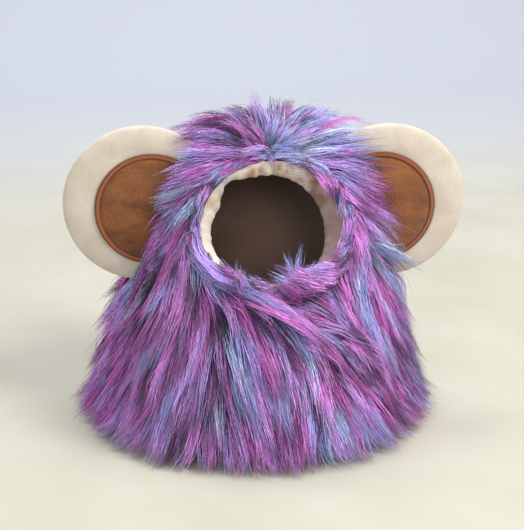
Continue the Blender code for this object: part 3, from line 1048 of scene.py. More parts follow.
@dataclass
class Ear:
    """One padded ear with its velour patch and its satin-stitched edge."""

    form: HoodForm
    side: Side
    height: float
    out: float = 72.5 * MM
    depth: float = -2 * MM
    radius: float = 46.5 * MM
    half_thickness: float = 4.5 * MM
    patch_inward: float = 5 * MM
    patch_drop: float = 2.5 * MM
    patch_radius: float = 29.5 * MM
    patch_wall: float = 1.0 * MM
    trim_half_width: float = 1.6 * MM
    lap: float = 0.8 * MM
    stitch_gap: float = 0.62 * MM
    stitch_half_width: float = 0.48 * MM
    stitch_half_height: float = 0.95 * MM
    stitch_stand: float = 1.15 * MM
    trim_gap: float = 0.3 * MM
    patch_gap: float = 0.5 * MM
    patch_edge_drop: float = 0.35 * MM
    groove_depth: float = 0.9 * MM
    groove_width: float = 3.0 * MM
    dimple_depth: float = 0.5 * MM
    steps: int = 120
    rings: int = 24
    patch_steps: int = 96
    patch_rings: int = 14

    def __post_init__(self) -> None:
        """Places the ear's and the patch's centres."""
        self.label = self.side.name.lower()
        sign = self.side.value
        self.centre = Vector((sign * self.out, self.depth + HOME_Y, self.height))
        self.patch_centre = self.centre + Vector((-sign * self.patch_inward, 0, -self.patch_drop))
        angles = [2 * math.pi * i / self.steps for i in range(self.steps)]
        self.reaches = np.array([self.reach(self.centre, a, self.radius) for a in angles])

    def reach(self, centre: Vector, angle: float, most: float) -> float:
        """How far a ray in the ear's plane runs before the ear's edge or the hood's side.

        Args:
            centre: Where the ray starts.
            angle: Its angle, from the outward side upwards.
            most: The longest it may be.

        Returns:
            The length.
        """
        low, high = 0.0, most
        for _ in range(26):
            middle = (low + high) / 2
            x = abs(centre.x) + math.cos(angle) * middle
            z = centre.z + math.sin(angle) * middle
            if x > self.form.half_x(z, centre.y) + SEAM_GAP:
                low = middle
            else:
                high = middle
        return most if high > most - 1e-5 else low

    def bulge(self, point: Vector) -> float:
        """How far the pad's face stands from its middle plane at a point of the plane.

        Args:
            point: The point.

        Returns:
            The distance in metres.
        """
        across = (point.x - self.centre.x) * self.side.value
        up = point.z - self.centre.z
        angle = math.atan2(up, across) % (2 * math.pi)
        place = angle / (2 * math.pi) * self.steps
        near = int(place) % self.steps
        after = (near + 1) % self.steps
        edge = self.reaches[near] * (1 - place % 1) + self.reaches[after] * (place % 1)
        share = min(math.hypot(across, up) / max(edge, 1e-6), 1.0)
        crown = math.sqrt(max(1 - share**4.5, 0.0))
        ring = (point - self.patch_centre).xz.length
        groove = math.exp(-(((ring - self.patch_radius - self.trim_half_width) / self.groove_width) ** 2))
        dimple = noise.noise(Vector((point.x, 0.2 * self.side.value, point.z)) * 38) * self.dimple_depth
        depth = self.half_thickness * crown - self.groove_depth * groove * crown
        return depth + dimple * crown * (1 - share**3)

    def plane_point(self, centre: Vector, angle: float, length: float) -> Vector:
        """A point of the ear's middle plane at an angle and a distance from a centre."""
        return centre + Vector((self.side.value * math.cos(angle) * length, 0, math.sin(angle) * length))

    @staticmethod
    def disc_faces(steps: int, rings: int) -> list[tuple[int, ...]]:
        """The faces of a disc's two sheets, each a middle point and then rings from the inside out.

        Args:
            steps: How many points a ring has.
            rings: How many rings a sheet has.

        Returns:
            The faces as index tuples.
        """
        faces: list[tuple[int, ...]] = []
        for base in (0, 1 + rings * steps):
            for i in range(steps):
                j = (i + 1) % steps
                faces.append((base, base + 1 + i, base + 1 + j))
                for ring in range(rings - 1):
                    a = base + 1 + ring * steps
                    faces.append((a + i, a + steps + i, a + steps + j, a + j))
        return faces

    def pad(self, material: Material) -> Object:
        """Makes the padded ear.

        Args:
            material: The piece's finish.

        Returns:
            The pad.
        """
        verts, faces = [], self.disc_faces(self.steps, self.rings)
        for front in (-1, 1):
            verts.append(self.centre + Vector((0, front * self.bulge(self.centre), 0)))
            for ring in range(1, self.rings + 1):
                share = math.sin(math.pi / 2 * ring / self.rings)
                for i in range(self.steps):
                    angle = 2 * math.pi * i / self.steps
                    point = self.plane_point(self.centre, angle, float(self.reaches[i]) * share)
                    rise = self.bulge(point) if ring < self.rings else 0.0
                    verts.append(point + Vector((0, front * rise, 0)))
        return mesh_object(f"ear_{self.label}_pad", verts, faces, material)

    def patch(self, material: Material) -> Object:
        """Makes the velour patch, a thin cloth that follows the pad's face.

        Args:
            material: The piece's finish.

        Returns:
            The patch.
        """
        verts, rings, steps = [], self.patch_rings, self.patch_steps
        angles = [2 * math.pi * i / steps for i in range(steps)]
        reaches = [self.reach(self.patch_centre, a, self.patch_radius + self.lap) for a in angles]
        for lift, drop in ((self.patch_gap, 0.0), (self.patch_gap + self.patch_wall, self.patch_edge_drop)):
            for ring in range(rings + 1):
                share = ring / rings
                for i in range(steps if ring else 1):
                    point = self.plane_point(self.patch_centre, angles[i], reaches[i] * share)
                    verts.append(point - Vector((0, self.bulge(point) + lift - drop * share**8, 0)))
        faces = self.disc_faces(steps, rings)
        rim, sheet = 1 + (rings - 1) * steps, 1 + rings * steps
        for i in range(steps):
            j = (i + 1) % steps
            faces.append((rim + i, rim + j, rim + j + sheet, rim + i + sheet))
        return mesh_object(f"ear_{self.label}_velour", verts, faces, material)

    def trim(self, material: Material) -> Object:
        """Makes the satin-stitched edge: one bead of thread after another round the patch.

        Args:
            material: The thread's finish.

        Returns:
            The stitches as one piece.
        """
        radius = self.patch_radius + self.trim_gap + self.trim_half_width
        outer = radius + self.trim_half_width
        count = round(2 * math.pi * radius / self.stitch_gap)
        verts, outs = [], []
        for angle in (2 * math.pi * i / count for i in range(count)):
            if self.reach(self.patch_centre, angle, outer) < outer:
                continue
            point = self.plane_point(self.patch_centre, angle, radius)
            verts.append(point - Vector((0, self.bulge(point) + self.stitch_stand, 0)))
            outs.append(self.plane_point(Vector((0, 0, 0)), angle, 1.0))
        guide = bpy.data.meshes.new("stitch_guide")
        guide.from_pydata([tuple(v) for v in verts], [], [])
        mark(guide, "out", "FLOAT_VECTOR", [x for out in outs for x in out])
        obj = link(bpy.data.objects.new(f"ear_{self.label}_stitching", guide))
        return grow(obj, StitchTree.shared(material), {
            "Half length": self.trim_half_width + self.lap / 2, "Half width": self.stitch_half_width,
            "Half height": self.stitch_half_height,
        })


class StitchTree:
    """The node tree that lays a bead of thread across the path at each guide point."""

    @staticmethod
    def shared(material: Material) -> NodeTree:
        """Builds the tree, or gives the one that is there.

        Args:
            material: The thread's finish.

        Returns:
            The tree.
        """
        if found := bpy.data.node_groups.get("satin_stitches"):
            return found
        tree = bpy.data.node_groups.new("satin_stitches", "GeometryNodeTree")
        tree.interface.new_socket("Guide", in_out="INPUT", socket_type="NodeSocketGeometry")
        for name in ("Half length", "Half width", "Half height"):
            tree.interface.new_socket(name, in_out="INPUT", socket_type="NodeSocketFloat")
        tree.interface.new_socket("Stitches", in_out="OUTPUT", socket_type="NodeSocketGeometry")
        start, end = tree.nodes.new("NodeGroupInput"), tree.nodes.new("NodeGroupOutput")
        bead = add_node(tree, "GeometryNodeMeshUVSphere", {"Segments": 6, "Rings": 5, "Radius": 1.0})
        place = add_node(tree, "GeometryNodeInputPosition").outputs[0]
        middle = add_node(tree, "ShaderNodeSeparateXYZ", {"Vector": place})
        marked = add_node(
            tree, "GeometryNodeStoreNamedAttribute",
            {"Geometry": bead.outputs["Mesh"], "Name": "stitch_across", "Value": middle.outputs["X"]},
            data_type="FLOAT", domain="POINT",
        )
        out = add_node(tree, "GeometryNodeInputNamedAttribute", {"Name": "out"}, data_type="FLOAT_VECTOR")
        turned = add_node(
            tree, "FunctionNodeAlignRotationToVector", {"Vector": out.outputs[0]}, axis="X", pivot_axis="Y"
        )
        size = add_node(tree, "ShaderNodeCombineXYZ", {
            "X": start.outputs["Half length"], "Y": start.outputs["Half height"],
            "Z": start.outputs["Half width"],
        })
        laid = add_node(tree, "GeometryNodeInstanceOnPoints", {
            "Points": start.outputs["Guide"], "Instance": marked.outputs["Geometry"],
            "Rotation": turned.outputs[0], "Scale": size.outputs[0],
        })
        real = add_node(tree, "GeometryNodeRealizeInstances", {"Geometry": laid.outputs[0]})
        smooth = add_node(tree, "GeometryNodeSetShadeSmooth", {"Geometry": real.outputs[0]})
        painted = add_node(
            tree, "GeometryNodeSetMaterial", {"Geometry": smooth.outputs[0], "Material": material}
        )
        tree.links.new(painted.outputs[0], end.inputs[0])
        return tree


# The deep pile


@dataclass
class LockGuide:
    """One lock's middle line with the ways across and out at each of its points."""

    points: list[Vector]
    outs: list[Vector]
    tone: float
    width: float

    def sides(self) -> list[Vector]:
        """The way across the lock at each point."""
        last = len(self.points) - 1
        made = []
        for i, out in enumerate(self.outs):
            ahead = self.points[min(i + 1, last)] - self.points[max(i - 1, 0)]
            made.append(ahead.cross(out).normalized())
        return made


# How the pile was brushed on the front: each stroke's place in millimetres and its way.
STROKES = (
    (-23, 9, 172, -0.90, 0.20, 0.10), (-43, 9, 159, -0.85, 0.20, -0.20),
    (-25, -7, 165, -0.90, 0.30, 0.00), (-39, -9, 155, -0.86, 0.25, -0.34),
    (-24, -15, 160, -0.95, 0.21, -0.24), (-51, -2, 143, -0.75, 0.20, -0.50),
    (-40, -18, 143, -0.75, 0.28, -0.60), (-56, -8, 127, -0.55, 0.20, -0.70),
    (-48, -22, 126, -0.47, -0.10, -0.88), (-61, -15, 109, -0.47, 0.17, -0.87),
    (-51, -30, 109, -0.18, -0.49, -0.85), (-44, -33, 114, -0.13, -0.42, -0.90),
    (-39, -41, 109, 0.39, -0.71, -0.59), (-29, -48, 102, 0.74, -0.07, -0.67),
    (-20, -53, 97, 0.83, -0.34, -0.44), (3, -5, 171, 0.10, 0.80, 0.60),
    (-4, 15, 175, -0.06, 1.00, 0.00), (-12, -4, 170, -0.50, 0.70, 0.50), (21, 9, 173, 0.60, 0.75, 0.05),
    (18, -14, 163, 0.90, 0.30, 0.15), (33, -8, 160, 0.90, 0.30, -0.05), (46, 2, 153, 0.85, 0.20, -0.30),
    (27, -18, 155, 0.93, 0.28, -0.22), (53, 0, 141, 0.75, 0.15, -0.55),
    (38, -19, 145, 0.75, 0.19, -0.64), (45, -21, 132, 0.56, 0.07, -0.82),
    (47, -26, 119, 0.13, -0.37, -0.92), (59, -9, 116, 0.70, 0.10, -0.66),
    (62, -11, 104, 0.70, 0.10, -0.65), (45, -33, 111, -0.25, -0.60, -0.76),
    (63, -17, 93, 0.26, -0.08, -0.96), (68, -14, 80, 0.27, -0.10, -0.94),
    (-20, -58, 90, 0.84, -0.45, -0.31), (-1, -60, 85, 0.95, 0.04, -0.31),
    (20, -59, 77, 0.94, 0.24, -0.26), (12, -69, 72, 0.84, -0.04, -0.54),
    (25, -69, 63, 0.78, 0.04, -0.62), (38, -67, 53, 0.61, 0.04, -0.79),
    (-27, -64, 83, 0.14, -0.38, -0.92), (-27, -68, 70, 0.22, -0.39, -0.90),
    (-19, -74, 58, 0.39, -0.37, -0.84), (-9, -80, 46, 0.31, -0.34, -0.89),
    (-2, -73, 64, 0.36, -0.28, -0.88), (4, -78, 51, 0.28, -0.30, -0.91),
    (18, -76, 50, 0.05, -0.32, -0.95), (24, -79, 36, 0.00, -0.30, -0.95),
    (-4, -91, 9, 0.14, -0.30, -0.94), (-12, -86, 27, 0.34, -0.29, -0.89),
    (10, -87, 19, -0.17, -0.29, -0.94), (-39, -59, 82, -0.07, -0.36, -0.93),
    (-42, -65, 63, -0.12, -0.32, -0.94), (-53, -53, 73, -0.25, -0.24, -0.94),
    (-61, -59, 47, -0.20, -0.27, -0.94), (-69, -36, 67, -0.33, -0.12, -0.94),
    (-72, -53, 36, -0.35, -0.06, -0.93), (-86, -8, 50, -0.40, 0.10, -0.90),
    (-94, -8, 27, -0.45, 0.10, -0.88), (-98, -14, 13, -0.55, 0.10, -0.82),
    (-81, -51, 15, -0.50, -0.05, -0.86), (-56, -76, 17, -0.20, -0.25, -0.94),
    (-36, -84, 20, 0.14, -0.32, -0.94), (52, -40, 78, 0.04, -0.38, -0.92),
    (37, -48, 88, 0.20, -0.30, -0.93), (67, -30, 60, 0.41, 0.05, -0.90),
    (75, -17, 51, 0.45, 0.10, -0.88), (76, -22, 40, 0.50, 0.10, -0.85),
    (57, -50, 45, 0.34, -0.10, -0.94), (64, -48, 28, 0.55, 0.00, -0.82),
    (81, -27, 17, 0.65, 0.10, -0.72), (75, -44, 7, 0.80, 0.10, -0.50),
    (54, -67, 25, 0.57, -0.05, -0.80), (46, -77, 13, 0.48, -0.15, -0.85),
    (31, -82, 16, 0.06, -0.26, -0.96), (38, -83, 6, 0.32, -0.25, -0.92),
    (-12, -70, 74, 0.34, -0.35, -0.87), (1, -72, 66, 0.38, -0.27, -0.88),
    (9, -74, 59, 0.09, -0.32, -0.94), (6, -81, 42, 0.02, -0.32, -0.95),
    (22, -73, 53, 0.05, -0.31, -0.95), (31, -75, 40, 0.36, -0.16, -0.92),
    (32, -80, 23, 0.19, -0.21, -0.96), (40, -73, 35, 0.53, 0.00, -0.85),
    (-7, -76, 58, 0.29, -0.33, -0.90), (44, -63, 56, 0.58, 0.04, -0.82),
    (46, -48, 71, 0.09, -0.32, -0.94),
)

# The flap's front edge, where the pile is cut shorter: places in millimetres.
LAP = (
    (-20, -58, 90), (-1, -60, 85), (20, -59, 77), (1, -70, 78), (12, -69, 72), (25, -69, 63), (38, -67, 53),
)

# Where one colour gathers in the pile: a place in millimetres, how far it reaches and its tone. The dark
# tones low on the viewer's left are partly the pile's own dark streaks and partly painted shade.
STREAKS = (
    (-27, -65, 78, 6, 0.95), (-24, -71, 64, 6, 0.92), (-12, -79, 48, 6, 0.80), (24, -78, 42, 7, 0.95),
    (23, -82, 26, 7, 0.93), (63, -14, 98, 7, 0.92), (50, -40, 84, 8, 0.95), (4, -17, 165, 8, 0.90),
    (-39, -60, 80, 6, 0.06), (-60, -55, 50, 8, 0.10), (-76, -45, 45, 9, 0.16), (62, -20, 92, 4, 0.03),
    (-50, -27, 116, 5, 0.22), (8, -79, 36, 6, 0.08), (-46, -57, 82, 6, 0.46), (0, -59, 84, 8, 0.46),
    (20, -60, 77, 8, 0.50), (30, -50, 98, 12, 0.44), (33, -10, 158, 10, 0.52), (4, -89, 14, 9, 0.42),
    (-30, -84, 14, 8, 0.46), (-22, -14, 160, 8, 0.60), (38, -68, 52, 5, 0.05), (-48, -64, 30, 8, 0.30),
    (66, -50, 18, 8, 0.54), (-34, -52, 100, 5, 0.64), (-90, -15, 30, 12, 0.22), (47, -24, 128, 8, 0.50),
    (-64, -42, 84, 7, 0.08), (-78, -38, 58, 8, 0.72), (-68, -55, 48, 7, 0.16), (-14, -80, 40, 5, 0.06),
    (22, -84, 12, 7, 0.76), (2, -87, 10, 5, 0.06), (62, -24, 76, 8, 0.60), (78, -20, 40, 8, 0.42),
    (-40, -66, 56, 6, 0.78), (60, -24, 100, 6, 0.04), (-44, -30, 124, 7, 0.60),
    (-54, -10, 132, 7, 0.76), (40, -12, 150, 7, 0.40), (-28, -8, 166, 8, 0.38), (34, -62, 70, 6, 0.62),
    (12, -84, 28, 5, 0.40), (-80, -40, 30, 9, 0.72), (-72, -54, 14, 8, 0.10), (-91, -14, 14, 8, 0.20),
    (-86, -32, 16, 9, 0.13), (-62, -64, 22, 8, 0.16),
)

# Locks that lie apart from the rest: from, past and to in millimetres, then tone and width.
SWEEPS = (
    ((56, -21, 113), (73, -13, 101), (92, -9, 87), 0.88, 0.8),
    ((55, -24, 112), (69, -15, 99), (84, -10, 86), 0.84, 0.7),
    ((10, -50, 92), (8, -52, 105), (5, -48, 113), 0.76, 0.45),
    ((12, -50, 92), (12, -52, 106), (14, -47, 115), 0.70, 0.4),
    ((15, -51, 92), (17, -54, 102), (22, -51, 107), 0.78, 0.45),
    ((-30, -54, 102), (2, -70, 89), (33, -74, 63), 0.40, 1.0),
    ((-29, -57, 98), (0, -73, 84), (30, -75, 62), 0.44, 1.0),
    ((-31, -52, 108), (-9, -67, 92), (25, -66, 79), 0.64, 1.0),
    ((31, -73, 66), (44, -62, 70), (55, -64, 54), 0.10, 0.6),
    ((-46, -33, 121), (-39, -53, 108), (-15, -63, 95), 0.62, 0.9),
    ((-47, -32, 117), (-41, -52, 104), (-18, -63, 91), 0.66, 0.9),
)


@dataclass
class Combing:
    """How the pile is combed over the hood."""

    form: HoodForm
    ears: tuple["Ear", "Ear"]
    steps: int = 11
    reach: float = 9.5 * MM
    lap_reach: float = 8 * MM
    hang: Span = (0.158, 0.085)
    unbrushed: float = 0.06
    front_depth: float = 0.035
    root_rise: float = 0.5
    turn_share: float = 0.5
    floor_room: float = 4 * MM
    floor_steps: int = 3
    ear_room: float = 1.6 * MM
    ear_foot: Span = (0.098, 0.078)
    ear_slope_from: float = 0.102
    ear_slope_height: float = 0.060
    # in millimetres: how far a root lies in the cloth, and the least that a lock stands off it
    root_depth: float = 0.8
    least_off: float = 0.5
    over_ear: dict[Side, tuple[float, float]] = field(
        default_factory=lambda: {Side.LEFT: (0.007, 0.022), Side.RIGHT: (0.018, 0.036)}
    )
    ear_slopes: dict[Side, tuple[float, float]] = field(
        default_factory=lambda: {Side.LEFT: (-66.0, 6.0), Side.RIGHT: (-44.0, -2.0)}
    )

    def __post_init__(self) -> None:
        """Keeps the strokes as arrays."""
        table = np.array(STROKES)
        self.places = table[:, :3] * MM
        self.ways = table[:, 3:] / np.linalg.norm(table[:, 3:], axis=1)[:, None]

    def heading(self, p: Vector, normal: Vector) -> Vector:
        """The way that the pile lies at a point of the hood.

        Args:
            p: The point.
            normal: The outward way there.

        Returns:
            A unit way along the surface.
        """
        form = self.form
        whorl = (p - form.whorl).normalized()
        hang = float(smoothstep(*self.hang, p.z))
        side = math.copysign(float(smoothstep(0.0, 0.05, abs(p.x))), p.x)
        way = whorl * 0.9 + Vector((side * 0.25, 0, -0.2 - 1.6 * hang))
        way = way.normalized() * self.unbrushed
        if p.y < self.front_depth:
            gaps = self.places - np.array(p)
            weights = np.exp(-(gaps**2).sum(axis=1) / (2 * self.reach**2))
            brushed = weights @ self.ways
            way += Vector((float(brushed[0]), float(brushed[1]), float(brushed[2])))
        way -= normal * way.dot(normal)
        return way.normalized()

    def on_lap(self, p: Vector) -> float:
        """How near a point is to the flap's edge, from 0 to 1."""
        gap = min((p - Vector(place) * MM).length for place in LAP)
        return math.exp(-((gap / self.lap_reach) ** 2))

    def surface(self, p: Vector) -> tuple[Vector, Vector]:
        """The nearest point of the outermost cloth and its outward way."""
        place, normal, _, _ = self.form.tree.find_nearest(p)
        if normal.dot(place - Vector((0, HOME_Y, 0.07))) < 0:
            normal = -normal
        return place, normal

    def beside_ear(self, p: Vector, ear: "Ear") -> bool:
        """Whether a point is in the ear's outline, seen from the front."""
        if math.hypot(p.x - ear.centre.x, p.z - ear.centre.z) > ear.radius + 1 * MM:
            return False
        return abs(p.x) > self.form.half_x(p.z, ear.centre.y) + SEAM_GAP - 4 * MM

    def path(
        self, root: Vector, length: float, lift: float, floor: float, chance: random.Random
    ) -> tuple[list[Vector], list[Vector]]:
        """Follows a stiff lock from its root, along the combed cloth and over the ears.

        Args:
            root: Where the lock starts.
            length: How long it is.
            lift: How far it stands off at its tip.
            floor: How far over the ground its tip ends.
            chance: The random numbers.

        Returns:
            The points and the outward ways at them.
        """
        step = length / self.steps
        ear = self.ears[0 if root.x < 0 else 1]
        ahead = root.y < ear.centre.y
        least, most = self.over_ear[ear.side]
        left_over = chance.uniform(least, most) * (1 - 0.85 * float(smoothstep(*self.ear_foot, root.z)))
        near, normal = self.surface(root)
        p = near - normal * self.root_depth * MM
        way = (self.heading(near, normal) + normal * self.root_rise).normalized()
        points, outs, level = [p.copy()], [normal.copy()], 0
        for i in range(1, self.steps + 1):
            p = p + way * step
            near, normal = self.surface(p)
            off = (p - near).dot(normal)
            t = i / self.steps
            wanted = lift * (0.15 * t + 0.85 * t**0.7)
            pull = min(max((wanted - off) / step * 0.6, -0.8), 0.6)
            if self.beside_ear(p, ear):
                if left_over <= 0:
                    break
                left_over -= step
                room = ear.half_thickness + self.ear_room + 0.12 * lift
                way, normal = self.past_ear(p, way, normal, ear, room if ahead else -room)
            else:
                if off < self.least_off * MM:
                    p = near + normal * self.least_off * MM
                turned = self.heading(near, normal) + normal * pull
                way = way.lerp(turned, self.turn_share).normalized()
            if p.z < floor + self.floor_room and way.z < 0:
                level += 1
                if level > self.floor_steps:
                    break
                away = Vector((normal.x, normal.y, 0)).normalized()
                way = Vector((way.x, way.y, way.z * 0.3)).normalized().lerp(away, 0.25).normalized()
            p.z = max(p.z, floor)
            points.append(p.copy())
            outs.append((normal - way * normal.dot(way)).normalized())
        return points, outs

    def past_ear(
        self, p: Vector, way: Vector, normal: Vector, ear: "Ear", room: float
    ) -> tuple[Vector, Vector]:
        """Lays a lock over the ear's front, or leads it on behind the ear.

        Args:
            p: The lock's point, which is moved clear of the ear.
            way: The way that the lock runs.
            normal: The cloth's outward way.
            ear: The ear.
            room: How far the lock keeps ahead of the ear's middle, or behind it when below 0.

        Returns:
            The lock's new way and its outward way.
        """
        if room < 0:
            p.y = max(p.y, ear.centre.y - room)
            way.y = max(way.y, 0.1)
            return way.normalized(), normal
        p.y = min(p.y, ear.centre.y - room)
        low, high = self.ear_slopes[ear.side]
        share = min(max((p.z - self.ear_slope_from) / self.ear_slope_height, 0.0), 1.0)
        slope = math.radians(low + (high - low) * share)
        way = way.lerp(Vector((ear.side.value * math.cos(slope), -0.05, math.sin(slope))), 0.5)
        return way.normalized(), Vector((0, -1, 0))


@dataclass
class Mane:
    """The long pile: locks of tapered fibres over the whole fur cloth."""

    form: HoodForm
    comb: Combing
    locks: int = 1800
    fibres: int = 20
    length: float = 45 * MM
    lift: float = 10.5 * MM
    lock_width: float = 4.6 * MM
    fibre_radius: float = 0.165 * MM
    lead_share: float = 0.24
    gather_reach: float = 12 * MM
    root_gap: float = 5.0 * MM
    gap_shrink: float = 0.965
    # how far a lock's tip may lie to one side, in millimetres
    sway: float = 4.5
    lap_cut: float = 0.42
    crown_from: float = 0.150
    dark_share: float = 0.21
    streak_share: float = 0.85
    highest_tone: float = 0.93
    tuft_locks: int = 28
    least_height: float = 1.0 * MM
    bake_stretch: float = 2.4
    pieces: int = 6
    seed: int = 5
    # angles round the opening, locks, then how far in, along and out they reach in millimetres
    fringe_rows: tuple[tuple[float, ...], ...] = (
        (50, 90, 30, 0.6, -12, 3.5), (88, 128, 30, 0.6, 12, 3.5), (125, 190, 24, 1.8, 9, 3.0),
        (188, 216, 22, 4.5, 13, 5.0), (210, 244, 40, 10.0, 16, 8.5), (238, 258, 22, 11.0, -9, 9.5),
        (256, 276, 24, 8.0, -11, 8.5), (274, 296, 22, 12.5, -10, 10.0), (286, 330, 54, 14.5, -12, 11.0),
        (298, 322, 12, 21.0, -14, 9.0), (326, 350, 20, 7.0, -12, 6.0), (348, 415, 34, 5.5, -12, 5.0),
    )

    def roots(self) -> list[Vector]:
        """Spreads the locks' roots evenly over the fur cloth, clear of the face and the ears' seams.

        Returns:
            The roots.
        """
        chance = random.Random(self.seed)
        form = self.form
        found: list[Vector] = []
        cells: dict[tuple[int, int, int], list[Vector]] = {}
        gap, tries = self.root_gap, 0
        while len(found) < self.locks and tries < self.locks * 50:
            tries += 1
            gap_now = gap * self.gap_shrink ** (tries // (self.locks * 4))
            place = chance.uniform(0.25, len(form.sections) - 1.01)
            section = form.section(place)
            if chance.random() > (section[1] + 0.014) / 0.1:
                continue
            turn = chance.uniform(-math.pi, math.pi)
            p = form.point(section, turn, form.outermost_rise(turn, float(section[0])))
            if form.in_face(p, 2.2 * MM) < 1:
                continue
            ear = self.comb.ears[0 if p.x < 0 else 1]
            if abs(p.y - ear.centre.y) < 4.8 * MM and abs(p.z - ear.centre.z) < 0.043:
                continue
            cx, cy, cz = (int(c // gap) for c in p)
            near = (
                q for i in (-1, 0, 1) for j in (-1, 0, 1) for k in (-1, 0, 1)
                for q in cells.get((cx + i, cy + j, cz + k), ())
            )
            if any((p - q).length < gap_now for q in near):
                continue
            found.append(p)
            cells.setdefault((cx, cy, cz), []).append(p)
        log.info("%d locks after %d tries", len(found), tries)
        return found

    def tone(self, root: Vector, chance: random.Random) -> float:
        """A lock's place along the pile's colours.

        Args:
            root: Where the lock starts.
            chance: The random numbers.

        Returns:
            A number from 0 to 1.
        """
        tone = 0.53 + 0.5 * noise.noise(root * 45 + Vector((7.1, 1.3, 2.2))) + chance.uniform(-0.44, 0.44)
        tone = max(tone, chance.uniform(0.06, 0.3))
        if chance.random() < self.dark_share:
            tone = chance.uniform(0.0, 0.13)
        for x, y, z, reach, shade in STREAKS:
            gap = (root - Vector((x, y, z)) * MM).length / (reach * MM)
            tone += (shade - tone) * self.streak_share * math.exp(-(gap**2))
        return min(max(tone, 0.0), self.highest_tone)

    def guides(self) -> list[LockGuide]:
        """Combs a middle line for each lock.

        Returns:
            The locks, with the fringe.
        """
        chance = random.Random(self.seed + 1)
        made = []
        for root in self.roots():
            length = self.length * chance.uniform(0.8, 1.15)
            lift = self.lift * chance.uniform(0.45, 1.4)
            if root.z > self.crown_from:
                apart = 0.3 + 1.3 * float(smoothstep(0.006, 0.026, abs(root.x)))
                lift *= 1.0 + apart * float(smoothstep(self.crown_from, 0.168, root.z)) * chance.random()
            if self.form.in_face(root, 10 * MM) < 1:
                length *= 0.8
                lift *= 0.75
            length *= 1 - self.lap_cut * self.comb.on_lap(root)
            if 0.068 < root.z < 0.108 and root.x < 0 and root.y > self.comb.ears[0].centre.y:
                lift *= 1.5
            patch = noise.noise(root * 62 + Vector((1.7, 9.2, 4.4)))
            floor = (0.7 + 6.0 * max(patch, 0.0) + 1.6 * chance.random()) * MM
            points, outs = self.comb.path(root, length, lift, floor, chance)
            if len(points) < 4:
                continue
            made.append(LockGuide(
                self.swayed(points, outs, chance), outs, self.tone(root, chance),
                self.lock_width * chance.uniform(0.7, 1.25),
            ))
        self.gather(made, chance)
        return made + self.fringe()

    def gather(self, guides: list[LockGuide], chance: random.Random) -> None:
        """Draws neighbouring locks together towards their tips, as brushed pile clumps.

        Args:
            guides: The locks, which are changed.
            chance: The random numbers.
        """
        leads = [guide for guide in guides if chance.random() < self.lead_share]
        tree = KDTree(len(leads))
        for index, lead in enumerate(leads):
            tree.insert(lead.points[len(lead.points) // 2], index)
        tree.balance()
        ahead_of = self.comb.ears[0].centre.y
        for guide in guides:
            _, index, gap = tree.find(guide.points[len(guide.points) // 2])
            lead = leads[index]
            apart = (lead.points[0].y < ahead_of) != (guide.points[0].y < ahead_of)
            if lead is guide or gap > self.gather_reach or apart:
                continue
            last, pull = len(guide.points) - 1, chance.uniform(0.15, 0.7)
            if guide.points[0].z > 0.148:
                pull *= 0.45
            for i in range(1, last + 1):
                same = lead.points[round(i / last * (len(lead.points) - 1))]
                guide.points[i] = guide.points[i].lerp(same, pull * (i / last) ** 2)
            guide.tone += (lead.tone - guide.tone) * 0.35

    def swayed(self, points: list[Vector], outs: list[Vector], chance: random.Random) -> list[Vector]:
        """Bends a lock's line a little to one side and smooths it.

        Args:
            points: The line.
            outs: The outward ways.
            chance: The random numbers.

        Returns:
            The new line, never below the ground.
        """
        last = len(points) - 1
        sway = chance.uniform(-1, 1) * self.sway * MM
        line = []
        for i, (point, out) in enumerate(zip(points, outs)):
            ahead = points[min(i + 1, last)] - points[max(i - 1, 0)]
            line.append(point + ahead.cross(out).normalized() * sway * (i / last) ** 2)
        eased = [(line[i - 1] + line[i] * 2 + line[i + 1]) / 4 for i in range(1, last)]
        line = [line[0], *eased, line[-1]]
        for point in line:
            point.z = max(point.z, self.least_height)
        return line

    def fringe(self) -> list[LockGuide]:
        """The locks at the face opening's edge, which hide the casing's seam.

        Returns:
            The locks, with the tuft and those that lie apart.
        """
        chance = random.Random(self.seed + 2)
        form, made = self.form, []
        for start, end, count, inward, along, out in self.fringe_rows:
            for k in range(count):
                angle = math.radians(start + (end - start) * (k + chance.random()) / count)
                root = form.rim_point(angle, chance.uniform(1.0, 6.0) * MM)
                ahead = form.rim_point(angle + 0.05, 0.0) - form.rim_point(angle - 0.05, 0.0)
                ahead.normalize()
                inside = -(Vector((math.cos(angle), 0, 0)) + form.face_up * math.sin(angle)).normalized()
                scale = chance.uniform(0.55, 1.25)
                curl = chance.uniform(-1, 1) * 2.5 * MM * (inward > 3)
                line, outs = [], []
                for i in range(8):
                    t = i / 7
                    line.append(
                        root + form.face_axis * MM * out * scale * math.sin(2.2 * t)
                        + inside * (MM * inward * scale * t**1.2 + curl * math.sin(5 * t))
                        + ahead * (MM * along * scale * t + curl * math.sin(3.5 * t) * t)
                        - Vector((0, 0, 1.5 * MM * t * t))
                    )
                    outs.append(form.face_axis.copy())
                tone = self.tone(root, chance)
                made.append(LockGuide(line, outs, tone, self.lock_width * chance.uniform(0.5, 0.8)))
        return made + self.whorl_tuft(chance) + self.swept(chance)

    def swept(self, chance: random.Random) -> list[LockGuide]:
        """The few locks that lie apart from the rest.

        Args:
            chance: The random numbers.

        Returns:
            The locks.
        """
        made = []
        for first, past, last, tone, width in SWEEPS:
            for _ in range(3):
                a, b, c = (
                    Vector(place) * MM + Vector([chance.uniform(-1.6, 1.6) * MM for _ in range(3)])
                    for place in (first, past, last)
                )
                a = self.comb.surface(a)[0]
                bow = b * 2 - (a + c) / 2
                line = []
                for t in (i / 8 for i in range(9)):
                    line.append(a * (1 - t) ** 2 + bow * 2 * t * (1 - t) + c * t * t)
                outs = [self.comb.surface(point)[1] for point in line]
                shade = tone + chance.uniform(-0.05, 0.05)
                across = self.lock_width * width * chance.uniform(0.7, 1.1)
                made.append(LockGuide(line, outs, shade, across))
        return made

